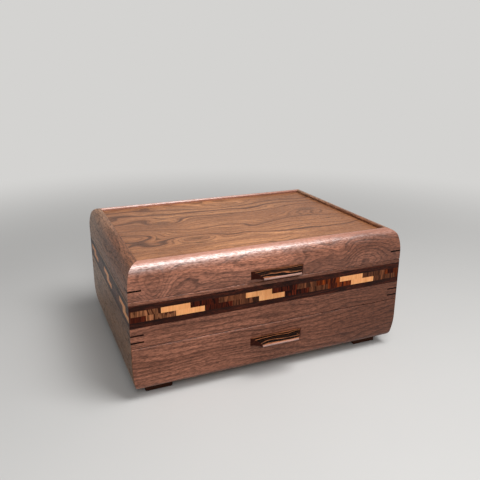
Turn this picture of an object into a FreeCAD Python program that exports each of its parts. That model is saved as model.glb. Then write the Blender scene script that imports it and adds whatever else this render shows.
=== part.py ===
import FreeCAD, Part
import Sketcher
import math
import os

# Cufflink box with a hinged lid and one drawer, in millimetres.
# X runs along the front, Y from front to back, Z up. The feet stand on Z = 0 and the origin is under
# the middle of the box's whole outline, handles and hinge knuckles included.

SIZES = [
    # the walnut case
    ("width", 330.0, "case, side to side"),
    ("depth", 248.0, "case, front to back"),
    ("wall", 16.0, "thickness of every mitred board"),
    ("foot_height", 11.0, "floor to the underside of the walls"),
    ("foot_width", 30.0, "side of a square foot"),
    ("foot_chamfer", 1.2, "bevel round the foot's lower edges"),
    ("drawer_front_height", 52.0, "drawer front, lower edge to upper edge"),
    ("drawer_reveal", 0.5, "gap between the drawer front and the rail above"),
    ("rail_height", 52.0, "fixed front rail, drawer opening to lid"),
    ("lid_height", 37.5, "lid frame, lower edge to rim"),
    ("lid_flat", 9.7, "flat part of the lid's face below the curve"),
    ("lid_sweep_radius", 70.0, "long curve of the lid's face"),
    ("lid_nose_radius", 12.0, "round of the shoulder at the rim"),
    ("rim_arris", 1.2, "bevel on the rim's inner edge, above the panel"),
    ("base_curve_height", 31.0, "height over which the base curves in"),
    ("base_sweep_radius", 128.0, "long curve of the base"),
    ("base_nose_radius", 8.75, "round at the underside"),
    ("arris", 0.7, "bevel on the drawer front's upper edge"),
    ("seam_arris", 0.7, "bevel on the edges that meet at the lid line and over the drawer"),
    # panels held in grooves
    ("groove_depth", 5.0, "grooves for the panels"),
    ("panel_gap", 0.5, "room for a panel to swell in its groove"),
    ("case_bottom_thickness", 4.0, "panel that the drawer runs on"),
    ("case_bottom_height", 6.0, "underside of the walls to that panel"),
    ("floor_thickness", 4.0, "floor of the upper compartment"),
    ("floor_height", 3.0, "underside of the front rail to that floor"),
    ("lid_panel_thickness", 8.0, "figured panel in the lid"),
    ("lid_panel_recess", 3.6, "rim of the lid down to the panel"),
    ("lid_tongue_thickness", 4.0, "tongue of the lid panel"),
    ("lid_field_gap", 0.4, "gap round the panel's raised field"),
    ("lining_thickness", 4.0, "suede pad inside the lid"),
    ("felt_thickness", 1.0, "felt in the compartments"),
    ("felt_gap", 0.3, "felt and lining to the walls"),
    # banding let into all four faces
    ("band_margin", 4.1, "lid line down to the band"),
    ("stripe_height", 6.4, "dark strip above and below the mosaic"),
    ("row_height", 6.1, "one row of the mosaic"),
    ("inlay_depth", 1.6, "depth of the band and side of a corner post"),
    ("cell_length", 15.7, "one step of the mosaic"),
    ("splice_length", 25.0, "short block where two lengths of band meet"),
    ("right_block_cut", 9.42, "cut off the right face's first block"),
    ("back_block_cut", 21.98, "cut off the back's first block"),
    ("left_block_cut", 20.41, "cut off the left face's first block"),
    # keys across the mitres
    ("key_thickness", 1.8, "key in its saw kerf"),
    ("key_reach", 14.0, "length that a key shows on each face"),
    ("case_key_height", 5.7, "front rail's lower edge to the lower key"),
    ("case_key_pitch", 7.85, "lower key to upper key"),
    ("lid_key_height", 10.4, "lid line to the lid's key"),
    # butt hinges
    ("hinge_length", 38.0, "hinge along the case"),
    ("hinge_inset", 44.0, "side of the case to the hinge"),
    ("leaf_width", 12.0, "back face to the leaf's edge"),
    ("leaf_thickness", 1.6, "brass leaf"),
    ("leaf_sink", 0.1, "leaf below the wood"),
    ("leaf_clearance", 0.1, "leaf to the sides of its mortise"),
    ("knuckle_radius", 2.6, "hinge barrel"),
    ("knuckle_standoff", 0.3, "barrel to the case's back face"),
    ("knuckle_gap", 0.2, "between two knuckles"),
    ("hinge_pin_radius", 1.2, "hinge pin"),
    ("hinge_pin_clearance", 0.05, "pin to the knuckles' bore"),
    # screws
    ("screw_radius", 1.1, "hinge screw's shank"),
    ("screw_length", 9.0, "hinge screw"),
    ("screw_head_radius", 2.1, "hinge screw's head"),
    ("long_screw_radius", 1.5, "shank of a screw in a handle or the drawer front"),
    ("long_screw_head_radius", 3.0, "head of such a screw"),
    ("handle_screw_grip", 7.0, "screw's length inside a handle"),
    ("front_screw_grip", 9.0, "screw's length inside the drawer front"),
    ("screw_clearance", 0.1, "screw to its hole"),
    # handles
    ("handle_base_length", 64.0, "handle where it meets the box"),
    ("handle_tip_length", 44.6, "handle at its lip"),
    ("handle_projection", 13.6, "handle out from the box"),
    ("handle_height", 9.6, "handle where it meets the box"),
    ("handle_drop", 4.6, "fall of its top towards the lip"),
    ("handle_lip", 1.8, "thickness of the lip"),
    ("handle_crown_radius", 24.0, "curve of its top"),
    ("handle_cove_radius", 20.0, "finger cove underneath"),
    ("handle_softening", 0.5, "rounding of its long edges"),
    ("lid_handle_height", 3.6, "lid line up to the lid's handle"),
    ("drawer_handle_height", 28.4, "drawer front's lower edge up to its handle"),
    ("handle_screw_spacing", 30.0, "between a handle's two screws"),
    ("handle_screw_height", 4.32, "underside of a handle to its screws"),
    # drawer
    ("drawer_end_clearance", 0.3, "drawer front to the mitres and to the case bottom"),
    ("drawer_side_clearance", 0.5, "drawer to the inside of the case"),
    ("drawer_lift", 0.3, "drawer to the case bottom"),
    ("drawer_height", 41.0, "drawer box"),
    ("drawer_back_clearance", 3.0, "drawer to the inside of the back"),
    ("drawer_side_thickness", 8.0, "drawer sides"),
    ("drawer_end_thickness", 8.0, "boards across the drawer"),
    ("drawer_bottom_thickness", 3.0, "drawer bottom"),
    ("drawer_bottom_height", 4.0, "lower edge of the drawer to its bottom panel"),
    ("drawer_groove_depth", 3.0, "groove for the drawer bottom"),
    ("dovetail_pin", 4.0, "narrow end of a dovetail pin"),
    ("dovetail_flare", 1.4, "widening of a pin on each side"),
    ("front_screw_inset", 60.0, "drawer box's side to its front screws"),
    ("front_screw_margin", 11.0, "drawer box's edges to its front screws"),
    # dividers
    ("divider_thickness", 4.0, "dividers of the upper compartment"),
    ("divider_height", 30.0, "dividers of the upper compartment"),
    ("divider_end_gap", 0.3, "divider to the wall"),
    ("lap_clearance", 0.1, "room on each side of a half lap"),
    ("drawer_divider_thickness", 4.0, "dividers in the drawer"),
    ("drawer_divider_height", 24.0, "dividers in the drawer"),
]

# Counts of things that repeat.
CELLS_ALONG = 6
CELLS_DEEP = 4
TAILS = 3
KNUCKLES = 5
SCREWS_PER_LEAF = 3

# Places and lengths that follow from the sizes.
LEVELS = [
    ("half_width", "sizes.width / 2"),
    ("half_depth", "sizes.depth / 2"),
    ("case_y", "(sizes.handle_projection - sizes.knuckle_standoff) / 2 - sizes.knuckle_radius"),
    ("inner_x", "levels.half_width - sizes.wall"),
    ("inner_y", "levels.half_depth - sizes.wall"),
    ("base", "sizes.foot_height"),
    ("base_curve_end", "levels.base + sizes.base_curve_height"),
    ("drawer_top", "levels.base + sizes.drawer_front_height"),
    ("rail_base", "levels.drawer_top + sizes.drawer_reveal"),
    ("lid_line", "levels.rail_base + sizes.rail_height"),
    ("lid_curve_start", "levels.lid_line + sizes.lid_flat"),
    ("rim", "levels.lid_line + sizes.lid_height"),
    # the two arcs of each curved edge meet where both have turned by this angle
    ("lid_turn", "asin((levels.rim - levels.lid_curve_start - sizes.lid_nose_radius)"
                 " / (sizes.lid_sweep_radius - sizes.lid_nose_radius))"),
    ("base_turn", "asin((sizes.base_curve_height - sizes.base_nose_radius)"
                  " / (sizes.base_sweep_radius - sizes.base_nose_radius))"),
    ("lid_join_in", "sizes.lid_sweep_radius * (1 - cos(levels.lid_turn))"),
    ("lid_join_up", "levels.lid_curve_start + sizes.lid_sweep_radius * sin(levels.lid_turn)"),
    ("lid_rim_in", "levels.lid_join_in + sizes.lid_nose_radius * cos(levels.lid_turn)"),
    ("base_join_in", "sizes.base_sweep_radius * (1 - cos(levels.base_turn))"),
    ("base_join_up", "levels.base_curve_end - sizes.base_sweep_radius * sin(levels.base_turn)"),
    ("base_foot_in", "levels.base_join_in + sizes.base_nose_radius * cos(levels.base_turn)"),
    # panels
    ("groove_face", "sizes.wall - sizes.groove_depth"),
    ("case_bottom", "levels.base + sizes.case_bottom_height"),
    ("case_bottom_top", "levels.case_bottom + sizes.case_bottom_thickness"),
    ("floor", "levels.rail_base + sizes.floor_height"),
    ("floor_top", "levels.floor + sizes.floor_thickness"),
    ("felt_top", "levels.floor_top + sizes.felt_thickness"),
    ("lid_panel_top", "levels.rim - sizes.lid_panel_recess"),
    ("lid_panel", "levels.lid_panel_top - sizes.lid_panel_thickness"),
    ("lid_tongue_top", "levels.lid_panel + sizes.lid_tongue_thickness"),
    ("panel_reach", "sizes.groove_depth - sizes.panel_gap"),
    # banding, from the top down
    ("band_top", "levels.lid_line - sizes.band_margin"),
    ("upper_row_top", "levels.band_top - sizes.stripe_height"),
    ("lower_row_top", "levels.upper_row_top - sizes.row_height"),
    ("lower_row", "levels.lower_row_top - sizes.row_height"),
    ("band", "levels.lower_row - sizes.stripe_height"),
    # keys
    ("case_key", "levels.rail_base + sizes.case_key_height"),
    ("lid_key", "levels.lid_line + sizes.lid_key_height"),
    # hinges
    ("hinge_y", "levels.half_depth + sizes.knuckle_standoff + sizes.knuckle_radius"),
    ("hinge_x", "levels.half_width - sizes.hinge_inset - sizes.hinge_length / 2"),
    ("knuckle", "(sizes.hinge_length - %d * sizes.knuckle_gap) / %d" % (KNUCKLES - 1, KNUCKLES)),
    ("bore", "sizes.hinge_pin_radius + sizes.hinge_pin_clearance"),
    ("mortise", "sizes.leaf_thickness + sizes.leaf_sink"),
    # drawer
    ("front_back_face", "0 - levels.inner_y"),
    ("drawer_base", "levels.case_bottom_top + sizes.drawer_lift"),
    ("drawer_rim", "levels.drawer_base + sizes.drawer_height"),
    ("drawer_outer_x", "levels.inner_x - sizes.drawer_side_clearance"),
    ("drawer_inner_x", "levels.drawer_outer_x - sizes.drawer_side_thickness"),
    ("drawer_inner_front", "levels.front_back_face + sizes.drawer_end_thickness"),
    ("drawer_outer_back", "levels.inner_y - sizes.drawer_back_clearance"),
    ("drawer_inner_back", "levels.drawer_outer_back - sizes.drawer_end_thickness"),
    ("drawer_bottom", "levels.drawer_base + sizes.drawer_bottom_height"),
    ("drawer_bottom_top", "levels.drawer_bottom + sizes.drawer_bottom_thickness"),
    ("drawer_felt_top", "levels.drawer_bottom_top + sizes.felt_thickness"),
    # handles
    ("lid_handle", "levels.lid_line + sizes.lid_handle_height"),
    ("drawer_handle", "levels.base + sizes.drawer_handle_height"),
]

# The four faces of the box in order round it, a quarter turn apart.
FACES = ("front", "right", "back", "left")
CUT = 2  # how far a cutting shape stands out of the wood, mm
TOUCH = 0.01  # shapes nearer than this touch, mm

doc = FreeCAD.newDocument("cufflink_box")
NODES = []


def make_sheets():
    """Write the driving sizes and what follows from them into two sheets."""
    sizes = doc.addObject("Spreadsheet::Sheet", "sizes")
    for row, (alias, number, meaning) in enumerate(SIZES, start=1):
        sizes.set("A%d" % row, meaning)
        sizes.set("B%d" % row, str(number))
        sizes.setAlias("B%d" % row, alias)
    levels = doc.addObject("Spreadsheet::Sheet", "levels")
    for row, (alias, formula) in enumerate(LEVELS, start=1):
        levels.set("A%d" % row, alias.replace("_", " "))
        levels.set("B%d" % row, "=" + formula)
        levels.setAlias("B%d" % row, alias)
    doc.recompute()
    return sizes


sheet = make_sheets()


def value(expression):
    """The number that an expression over the sheets has now."""
    result = sheet.evalExpression(str(expression))
    return float(getattr(result, "Value", result))


def bind(thing, **formulas):
    """Tie properties to expressions; a double underscore stands for a dot in a property's path."""
    for path, formula in formulas.items():
        thing.setExpression(path.replace("__", "."), str(formula))


def lower(text):
    """The negative of an expression."""
    return "0 - (%s)" % text


def keep(piece, name):
    """Name a finished sub-part, which is then exported under that name."""
    piece.Label = name
    NODES.append(piece)
    return piece


# ---------------------------------------------------------------- sketches and bodies


def make_body(name):
    return doc.addObject("PartDesign::Body", name)


def make_sketch(body, plane, offset=None):
    """A sketch on one of the body's own origin planes, moved along its normal by an expression."""
    sketch = body.newObject("Sketcher::SketchObject", body.Name + "_sketch")
    support = next(part for part in body.Origin.OriginFeatures if part.Role == plane)
    sketch.AttachmentSupport = (support, "")
    sketch.MapMode = "FlatFace"
    if offset is not None:
        bind(sketch, AttachmentOffset__Base__z=offset)
    return sketch


def fix(sketch, kind, *where, formula):
    """Add one dimension and tie it to an expression."""
    number = sketch.addConstraint(Sketcher.Constraint(kind, *where, value(formula)))
    sketch.setExpression("Constraints[%d]" % number, str(formula))


def outline(sketch, corners, arcs=None):
    """Draw a closed outline through corners given as pairs of expressions.

    arcs maps the number of a corner to the radius and the centre of the arc that leaves it, and to
    whether that arc runs anticlockwise. Every corner and every radius is a dimension.
    """
    arcs = arcs or {}
    first = sketch.GeometryCount
    points = [FreeCAD.Vector(value(x), value(y), 0) for x, y in corners]
    starts = []
    ends = []
    for index, point in enumerate(points):
        following = points[(index + 1) % len(points)]
        if index in arcs:
            radius, centre, anticlockwise = arcs[index]
            middle = FreeCAD.Vector(value(centre[0]), value(centre[1]), 0)
            circle = Part.Circle(middle, FreeCAD.Vector(0, 0, 1), value(radius))
            ordered = (point, following) if anticlockwise else (following, point)
            angles = [math.atan2(end.y - middle.y, end.x - middle.x) for end in ordered]
            sketch.addGeometry(Part.ArcOfCircle(circle, angles[0], angles[1]), False)
            starts.append(1 if anticlockwise else 2)
            ends.append(2 if anticlockwise else 1)
        else:
            sketch.addGeometry(Part.LineSegment(point, following), False)
            starts.append(1)
            ends.append(2)
    for index, (x, y) in enumerate(corners):
        edge = first + index
        before = (index - 1) % len(corners)
        sketch.addConstraint(
            Sketcher.Constraint("Coincident", first + before, ends[before], edge, starts[index]))
        fix(sketch, "DistanceX", -1, 1, edge, starts[index], formula=x)
        fix(sketch, "DistanceY", -1, 1, edge, starts[index], formula=y)
        if index in arcs:
            fix(sketch, "Radius", edge, formula=arcs[index][0])


def rectangle(sketch, left, right, bottom, top):
    outline(sketch, [(left, bottom), (right, bottom), (right, top), (left, top)])


def pad(body, sketch, length, symmetric=False):
    feature = body.newObject("PartDesign::Pad", body.Name + "_pad")
    feature.Profile = sketch
    feature.SideType = "Symmetric" if symmetric else "One side"
    bind(feature, Length=length)
    return feature


def pocket(body, sketch, depth=None, reverse=False, symmetric=False):
    """Cut against the sketch's normal, right through where no depth is given."""
    feature = body.newObject("PartDesign::Pocket", body.Name + "_pocket")
    feature.Profile = sketch
    feature.SideType = "Symmetric" if symmetric else "One side"
    feature.Reversed = reverse
    if depth is None:
        feature.Type = "ThroughAll"
    else:
        bind(feature, Length=depth)
    return feature


def repeat(body, feature, axis, span, count):
    """Repeat a feature along one of the body's own axes."""
    pattern = body.newObject("PartDesign::LinearPattern", body.Name + "_pattern")
    pattern.Originals = [feature]
    direction = next(part for part in body.Origin.OriginFeatures if part.Role == axis)
    pattern.Direction = (direction, [""])
    bind(pattern, Length=span)
    pattern.Occurrences = count
    body.Tip = pattern
    return pattern


def turn_of(face):
    """The turn about the Z axis that takes the front to that face."""
    return FreeCAD.Rotation(FreeCAD.Vector(0, 0, 1), 360 * FACES.index(face) / len(FACES))


def turn_to_face(thing, face):
    """Turn something drawn at the front to another face of the case."""
    thing.Placement = FreeCAD.Placement(FreeCAD.Vector(0, 0, 0), turn_of(face))
    bind(thing, Placement__Base__y="levels.case_y")


def stand_in_case(thing):
    """Place something drawn about the middle of the case."""
    turn_to_face(thing, "front")


def half_across(face):
    """Middle of the case to that face."""
    return "levels.half_depth" if face in ("front", "back") else "levels.half_width"


def half_along(face):
    """Middle of that face to its corner."""
    return "levels.half_width" if face in ("front", "back") else "levels.half_depth"


# ---------------------------------------------------------------- primitives


def make_box(name, low, high):
    """A box between two corners given as expressions, measured from the middle of the case."""
    block = doc.addObject("Part::Box", name)
    bind(block, Length="(%s) - (%s)" % (high[0], low[0]),
         Width="(%s) - (%s)" % (high[1], low[1]),
         Height="(%s) - (%s)" % (high[2], low[2]),
         Placement__Base__x=low[0],
         Placement__Base__y="%s + levels.case_y" % low[1],
         Placement__Base__z=low[2])
    return block


def make_box_on_face(name, face, start, end, bottom, top):
    """A box let into one face, from start to end along it, as deep as the inlay."""
    block = doc.addObject("Part::Box", name)
    out = half_across(face)
    bind(block, Length="(%s) - (%s)" % (end, start), Width="sizes.inlay_depth",
         Height="(%s) - (%s)" % (top, bottom))
    block.Placement.Rotation = turn_of(face)
    corners = {"front": (start, lower(out)), "right": (out, start),
               "back": (lower(start), out), "left": (lower(out), lower(start))}
    x, y = corners[face]
    bind(block, Placement__Base__x=x, Placement__Base__y="%s + levels.case_y" % y,
         Placement__Base__z=bottom)
    return block


def make_rod(name, radius, length, base, direction):
    """A cylinder from a base point given as expressions, measured from the middle of the case."""
    rod = doc.addObject("Part::Cylinder", name)
    bind(rod, Radius=radius, Height=length)
    place_along(rod, base, direction)
    return rod


def make_cone(name, wide, narrow, length, base, direction):
    cone = doc.addObject("Part::Cone", name)
    bind(cone, Radius1=wide, Radius2=narrow, Height=length)
    place_along(cone, base, direction)
    return cone


def place_along(thing, base, direction):
    thing.Placement.Rotation = FreeCAD.Rotation(FreeCAD.Vector(0, 0, 1), FreeCAD.Vector(*direction))
    bind(thing, Placement__Base__x=base[0], Placement__Base__y="%s + levels.case_y" % base[1],
         Placement__Base__z=base[2])


def cut_away(name, wood, tools):
    """Wood with holes of the tools' shapes."""
    holes = doc.addObject("Part::Compound", name + "_holes")
    holes.Links = tools
    cut = doc.addObject("Part::Cut", name + "_cut")
    cut.Base = wood
    cut.Tool = holes
    return cut


def fuse(name, *solids):
    joined = doc.addObject("Part::MultiFuse", name + "_fuse")
    joined.Shapes = list(solids)
    return joined


def group(name, solids):
    """Separate solids that share one node."""
    together = doc.addObject("Part::Compound", name + "_group")
    together.Links = solids
    return keep(together, name)


# ---------------------------------------------------------------- screws


class Screw:
    """A countersunk screw: where its head lies flush, which way it points and how long it is."""

    def __init__(self, name, base, direction, length, shank, head):
        self.name = name
        self.base = base
        self.direction = direction
        self.length = length
        self.shank = shank
        self.head = head

    def solid(self):
        head_height = "%s - %s" % (self.head, self.shank)
        cone = make_cone(self.name + "_head", self.head, self.shank, head_height, self.base, self.direction)
        shank = make_rod(self.name + "_shank", self.shank, self.length, self.base, self.direction)
        return fuse(self.name, cone, shank)

    def hole(self, name):
        """The hole that clears this screw by the same amount all round."""
        room = "sizes.screw_clearance"
        wide = "%s + %s" % (self.head, room)
        narrow = "%s + %s" % (self.shank, room)
        cone = make_cone(name + "_sink", wide, narrow, "%s - %s" % (self.head, self.shank),
                         self.base, self.direction)
        length = "%s + %s" % (self.length, room)
        bore = make_rod(name + "_bore", narrow, length, self.base, self.direction)
        return fuse(name, cone, bore)


def handle_screws(name, bottom, face_y):
    """Two screws that come from inside a board into the handle at its front."""
    screws = []
    for side in (-1, 1):
        base = ("%d * sizes.handle_screw_spacing / 2" % side, face_y,
                "%s + sizes.handle_screw_height" % bottom)
        length = "sizes.wall + sizes.handle_screw_grip"
        label = "%s_%s" % (name, "left" if side < 0 else "right")
        screws.append(Screw(label, base, (0, -1, 0), length,
                            "sizes.long_screw_radius", "sizes.long_screw_head_radius"))
    return screws


# ---------------------------------------------------------------- mitred walls, rails and lid frame


def from_face(face, inward):
    """Across a wall's section: a distance in from the outer face."""
    return "%s - %s" % (inward, half_across(face))


def base_edge(face):
    """Outer edge of a section from its underside up to where the flat face starts, and its two arcs."""
    corners = [(from_face(face, "levels.base_foot_in"), "levels.base"),
               (from_face(face, "levels.base_join_in"), "levels.base_join_up"),
               (from_face(face, "0"), "levels.base_curve_end")]
    nose = (from_face(face, "levels.base_foot_in"), "levels.base + sizes.base_nose_radius")
    sweep = (from_face(face, "sizes.base_sweep_radius"), "levels.base_curve_end")
    return corners, [("sizes.base_nose_radius", nose, False), ("sizes.base_sweep_radius", sweep, False)]


def band_rebate(face):
    """The step in the outer face that the banding is let into."""
    return [(from_face(face, "0"), "levels.band"),
            (from_face(face, "sizes.inlay_depth"), "levels.band"),
            (from_face(face, "sizes.inlay_depth"), "levels.band_top"),
            (from_face(face, "0"), "levels.band_top")]


def groove(face, bottom, top):
    """A groove in the inner face, drawn on the way down."""
    return [(from_face(face, "sizes.wall"), top),
            (from_face(face, "levels.groove_face"), top),
            (from_face(face, "levels.groove_face"), bottom),
            (from_face(face, "sizes.wall"), bottom)]


def seam_top(face):
    """Upper end of a wall of the case, with its outer edge bevelled at the lid line."""
    return [(from_face(face, "0"), "levels.lid_line - sizes.seam_arris"),
            (from_face(face, "sizes.seam_arris"), "levels.lid_line"),
            (from_face(face, "sizes.wall"), "levels.lid_line")]


def wall_section(face):
    """Side or back of the case: curved base, band, and grooves for the floor and the case bottom."""
    corners, bends = base_edge(face)
    corners += band_rebate(face)
    corners += seam_top(face)
    corners += groove(face, "levels.floor", "levels.floor_top")
    corners += groove(face, "levels.case_bottom", "levels.case_bottom_top")
    corners += [(from_face(face, "sizes.wall"), "levels.base")]
    return corners, dict(enumerate(bends))


def front_rail_section():
    """Front rail above the drawer."""
    face = "front"
    corners = [(from_face(face, "sizes.seam_arris"), "levels.rail_base"),
               (from_face(face, "0"), "levels.rail_base + sizes.seam_arris")]
    corners += band_rebate(face)
    corners += seam_top(face)
    corners += groove(face, "levels.floor", "levels.floor_top")
    corners += [(from_face(face, "sizes.wall"), "levels.rail_base")]
    return corners, {}


def drawer_front_section():
    """Drawer front, which carries the curved base across the front."""
    face = "front"
    corners, bends = base_edge(face)
    corners += [(from_face(face, "0"), "levels.drawer_top - sizes.arris"),
                (from_face(face, "sizes.arris"), "levels.drawer_top"),
                (from_face(face, "sizes.wall"), "levels.drawer_top"),
                (from_face(face, "sizes.wall"), "levels.base")]
    return corners, dict(enumerate(bends))


def lid_section(face):
    """Rail of the lid frame: flat face, long curve, round shoulder, bevelled rim and a panel groove."""
    corners = [(from_face(face, "sizes.seam_arris"), "levels.lid_line"),
               (from_face(face, "0"), "levels.lid_line + sizes.seam_arris"),
               (from_face(face, "0"), "levels.lid_curve_start"),
               (from_face(face, "levels.lid_join_in"), "levels.lid_join_up"),
               (from_face(face, "levels.lid_rim_in"), "levels.rim"),
               (from_face(face, "sizes.wall - sizes.rim_arris"), "levels.rim"),
               (from_face(face, "sizes.wall"), "levels.rim - sizes.rim_arris")]
    corners += groove(face, "levels.lid_panel", "levels.lid_tongue_top")
    corners += [(from_face(face, "sizes.wall"), "levels.lid_line")]
    sweep = (from_face(face, "sizes.lid_sweep_radius"), "levels.lid_curve_start")
    nose = (from_face(face, "levels.lid_rim_in"), "levels.rim - sizes.lid_nose_radius")
    return corners, {2: ("sizes.lid_sweep_radius", sweep, False), 3: ("sizes.lid_nose_radius", nose, False)}


def mitred_board(name, face, section, clearance="0"):
    """A moulded board along one face, with both ends cut at 45 degrees."""
    body = make_body(name)
    profile = make_sketch(body, "YZ_Plane")
    corners, arcs = section
    outline(profile, corners, arcs)
    pad(body, profile, "2 * %s" % half_along(face), symmetric=True)
    along = half_along(face)
    out = half_across(face)
    waste = make_sketch(body, "XY_Plane", "levels.rim + %d" % CUT)
    # the mitre runs from the corner inwards; a gap square to it moves it along by the root of two
    shift = "%s * sqrt(2)" % clearance
    for side in (-1, 1):
        outer = "%d * (%s - %s + %d)" % (side, along, shift, CUT)
        inner = "%d * (%s - %s - sizes.wall - %d)" % (side, along, shift, CUT)
        front = "0 - %s - %d" % (out, CUT)
        back = "sizes.wall - %s + %d" % (out, CUT)
        beyond = "%d * (%s + 2 * %d)" % (side, along, CUT)
        outline(waste, [(outer, front), (inner, back), (beyond, back), (beyond, front)])
    pocket(body, waste)
    turn_to_face(body, face)
    return body


def cut_kerfs(body, face, top, count, ends=(-1, 1)):
    """Saw kerfs for the keys, across each mitred end; a second kerf lies one pitch above."""
    along = half_along(face)
    out = half_across(face)
    kerf = make_sketch(body, "XY_Plane", top)
    for side in ends:
        near = "%d * (%s - sizes.key_reach - %d)" % (side, along, CUT)
        far = "%d * (%s + %d)" % (side, along, CUT)
        outline(kerf, [(near, "0 - %s - %d" % (out, CUT)), (far, "0 - %s - %d" % (out, CUT)),
                       (far, "sizes.key_reach - %s + %d" % (out, CUT))])
    feature = pocket(body, kerf, "sizes.key_thickness")
    if count > 1:
        repeat(body, feature, "Z_Axis", "sizes.case_key_pitch", count)


def cut_mortises(body, surface, upward):
    """Mortises for the two hinge leaves, at the inner end of a board that is turned to the back."""
    mortise = make_sketch(body, "XY_Plane", surface)
    room = "sizes.leaf_clearance"
    reach = "sizes.hinge_length / 2 + %s" % room
    for side in (-1, 1):
        rectangle(mortise, "%d * levels.hinge_x - (%s)" % (side, reach),
                  "%d * levels.hinge_x + %s" % (side, reach),
                  "0 - levels.half_depth - %d" % CUT,
                  "sizes.leaf_width + %s - levels.half_depth" % room)
    pocket(body, mortise, "levels.mortise", reverse=upward)


def make_case():
    lower_key_top = "levels.case_key + sizes.key_thickness"
    for face in ("left", "right"):
        body = mitred_board("side_" + face, face, wall_section(face))
        cut_kerfs(body, face, lower_key_top, 2)
        keep(body, "case_%s_side" % face)
    back = mitred_board("back", "back", wall_section("back"))
    cut_kerfs(back, "back", lower_key_top, 2)
    cut_mortises(back, "levels.lid_line", upward=False)
    doc.recompute()
    keep(cut_away("back", back, leaf_screw_holes("case")), "case_back")
    rail = mitred_board("rail", "front", front_rail_section())
    cut_kerfs(rail, "front", lower_key_top, 2)
    keep(rail, "case_front_rail")
    bottom_edge = "levels.inner_x + levels.panel_reach"
    back_edge = "levels.inner_y + levels.panel_reach"
    keep(make_box("floor", (lower(bottom_edge), lower(back_edge), "levels.floor"),
                  (bottom_edge, back_edge, "levels.floor_top")), "compartment_floor")
    keep(make_box("bottom", (lower(bottom_edge), "levels.front_back_face + sizes.drawer_end_clearance",
                             "levels.case_bottom"),
                  (bottom_edge, back_edge, "levels.case_bottom_top")), "case_bottom")


def make_feet():
    """Square feet inside the walls, glued up against the case bottom."""
    for end in ("front", "back"):
        for side in ("left", "right"):
            body = make_body("foot_%s_%s" % (end, side))
            x_sign = -1 if side == "left" else 1
            near_x = "%d * levels.inner_x" % x_sign
            far_x = "%d * (levels.inner_x - sizes.foot_width)" % x_sign
            if end == "front":
                near_y = "levels.front_back_face + sizes.drawer_end_clearance"
                far_y = near_y + " + sizes.foot_width"
            else:
                near_y = "levels.inner_y"
                far_y = "levels.inner_y - sizes.foot_width"
            plan = make_sketch(body, "XY_Plane")
            rectangle(plan, near_x, far_x, near_y, far_y)
            block = pad(body, plan, "levels.case_bottom")
            doc.recompute()
            lowest = ["Edge%d" % (number + 1) for number, edge in enumerate(block.Shape.Edges)
                      if edge.BoundBox.ZMax < CUT]
            bevel = body.newObject("PartDesign::Chamfer", body.Name + "_chamfer")
            bevel.Base = (block, lowest)
            bind(bevel, Size="sizes.foot_chamfer")
            stand_in_case(body)
            keep(body, "foot_%s_%s" % (end, side))


# ---------------------------------------------------------------- keys and banding


def make_keys(name, bottoms):
    """Triangular keys glued into the kerfs, one at each corner and each level."""
    keys = []
    for level, bottom in enumerate(bottoms):
        for side_x in (-1, 1):
            for side_y in (-1, 1):
                body = make_body("%s_%d" % (name, len(keys)))
                plan = make_sketch(body, "XY_Plane", bottom)
                corner = ("%d * levels.half_width" % side_x, "%d * levels.half_depth" % side_y)
                outline(plan, [corner,
                               ("%d * (levels.half_width - sizes.key_reach)" % side_x, corner[1]),
                               (corner[0], "%d * (levels.half_depth - sizes.key_reach)" % side_y)])
                pad(body, plan, "sizes.key_thickness")
                stand_in_case(body)
                keys.append(body)
    group(name, keys)


def make_strip(name, face, bottom):
    """One length of dark strip, mitred at both ends."""
    strip = doc.addObject("Part::Wedge", name)
    length = "2 * %s" % half_along(face)
    bind(strip, Xmin="0", Xmax=length, X2min="sizes.inlay_depth", X2max="%s - sizes.inlay_depth" % length,
         Ymin="0", Ymax="sizes.inlay_depth", Zmin="0", Z2min="0",
         Zmax="sizes.stripe_height", Z2max="sizes.stripe_height")
    strip.Placement.Rotation = turn_of(face)
    across = half_across(face)
    along = half_along(face)
    corners = {"front": (lower(along), lower(across)), "right": (across, lower(along)),
               "back": (along, across), "left": (lower(across), along)}
    x, y = corners[face]
    bind(strip, Placement__Base__x=x, Placement__Base__y="%s + levels.case_y" % y, Placement__Base__z=bottom)
    return strip


# The mosaic is stepped: every block is two cells long, and the lower row lies one cell behind the
# upper row. The front has a short block where two lengths of band were spliced.
TWO_CELLS = "2 * sizes.cell_length"
FRONT_RUN = [("rosewood", TWO_CELLS), ("zebrano", TWO_CELLS), ("maple", TWO_CELLS), ("rosewood", TWO_CELLS),
             ("walnut", TWO_CELLS), ("maple", TWO_CELLS), ("rosewood", TWO_CELLS),
             ("walnut", "sizes.splice_length"), ("cocobolo", TWO_CELLS), ("maple", TWO_CELLS),
             ("walnut", TWO_CELLS), ("cocobolo", TWO_CELLS)]
PLAIN_RUN = [("walnut", TWO_CELLS), ("maple", TWO_CELLS), ("rosewood", TWO_CELLS)]
# the wood that each face starts with, and how much of that block lies beyond its left-hand corner
BAND_STARTS = {"front": (FRONT_RUN, "rosewood", TWO_CELLS),
               "right": (PLAIN_RUN, "maple", "sizes.right_block_cut"),
               "back": (PLAIN_RUN, "rosewood", "sizes.back_block_cut"),
               "left": (PLAIN_RUN, "walnut", "sizes.left_block_cut")}


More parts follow.
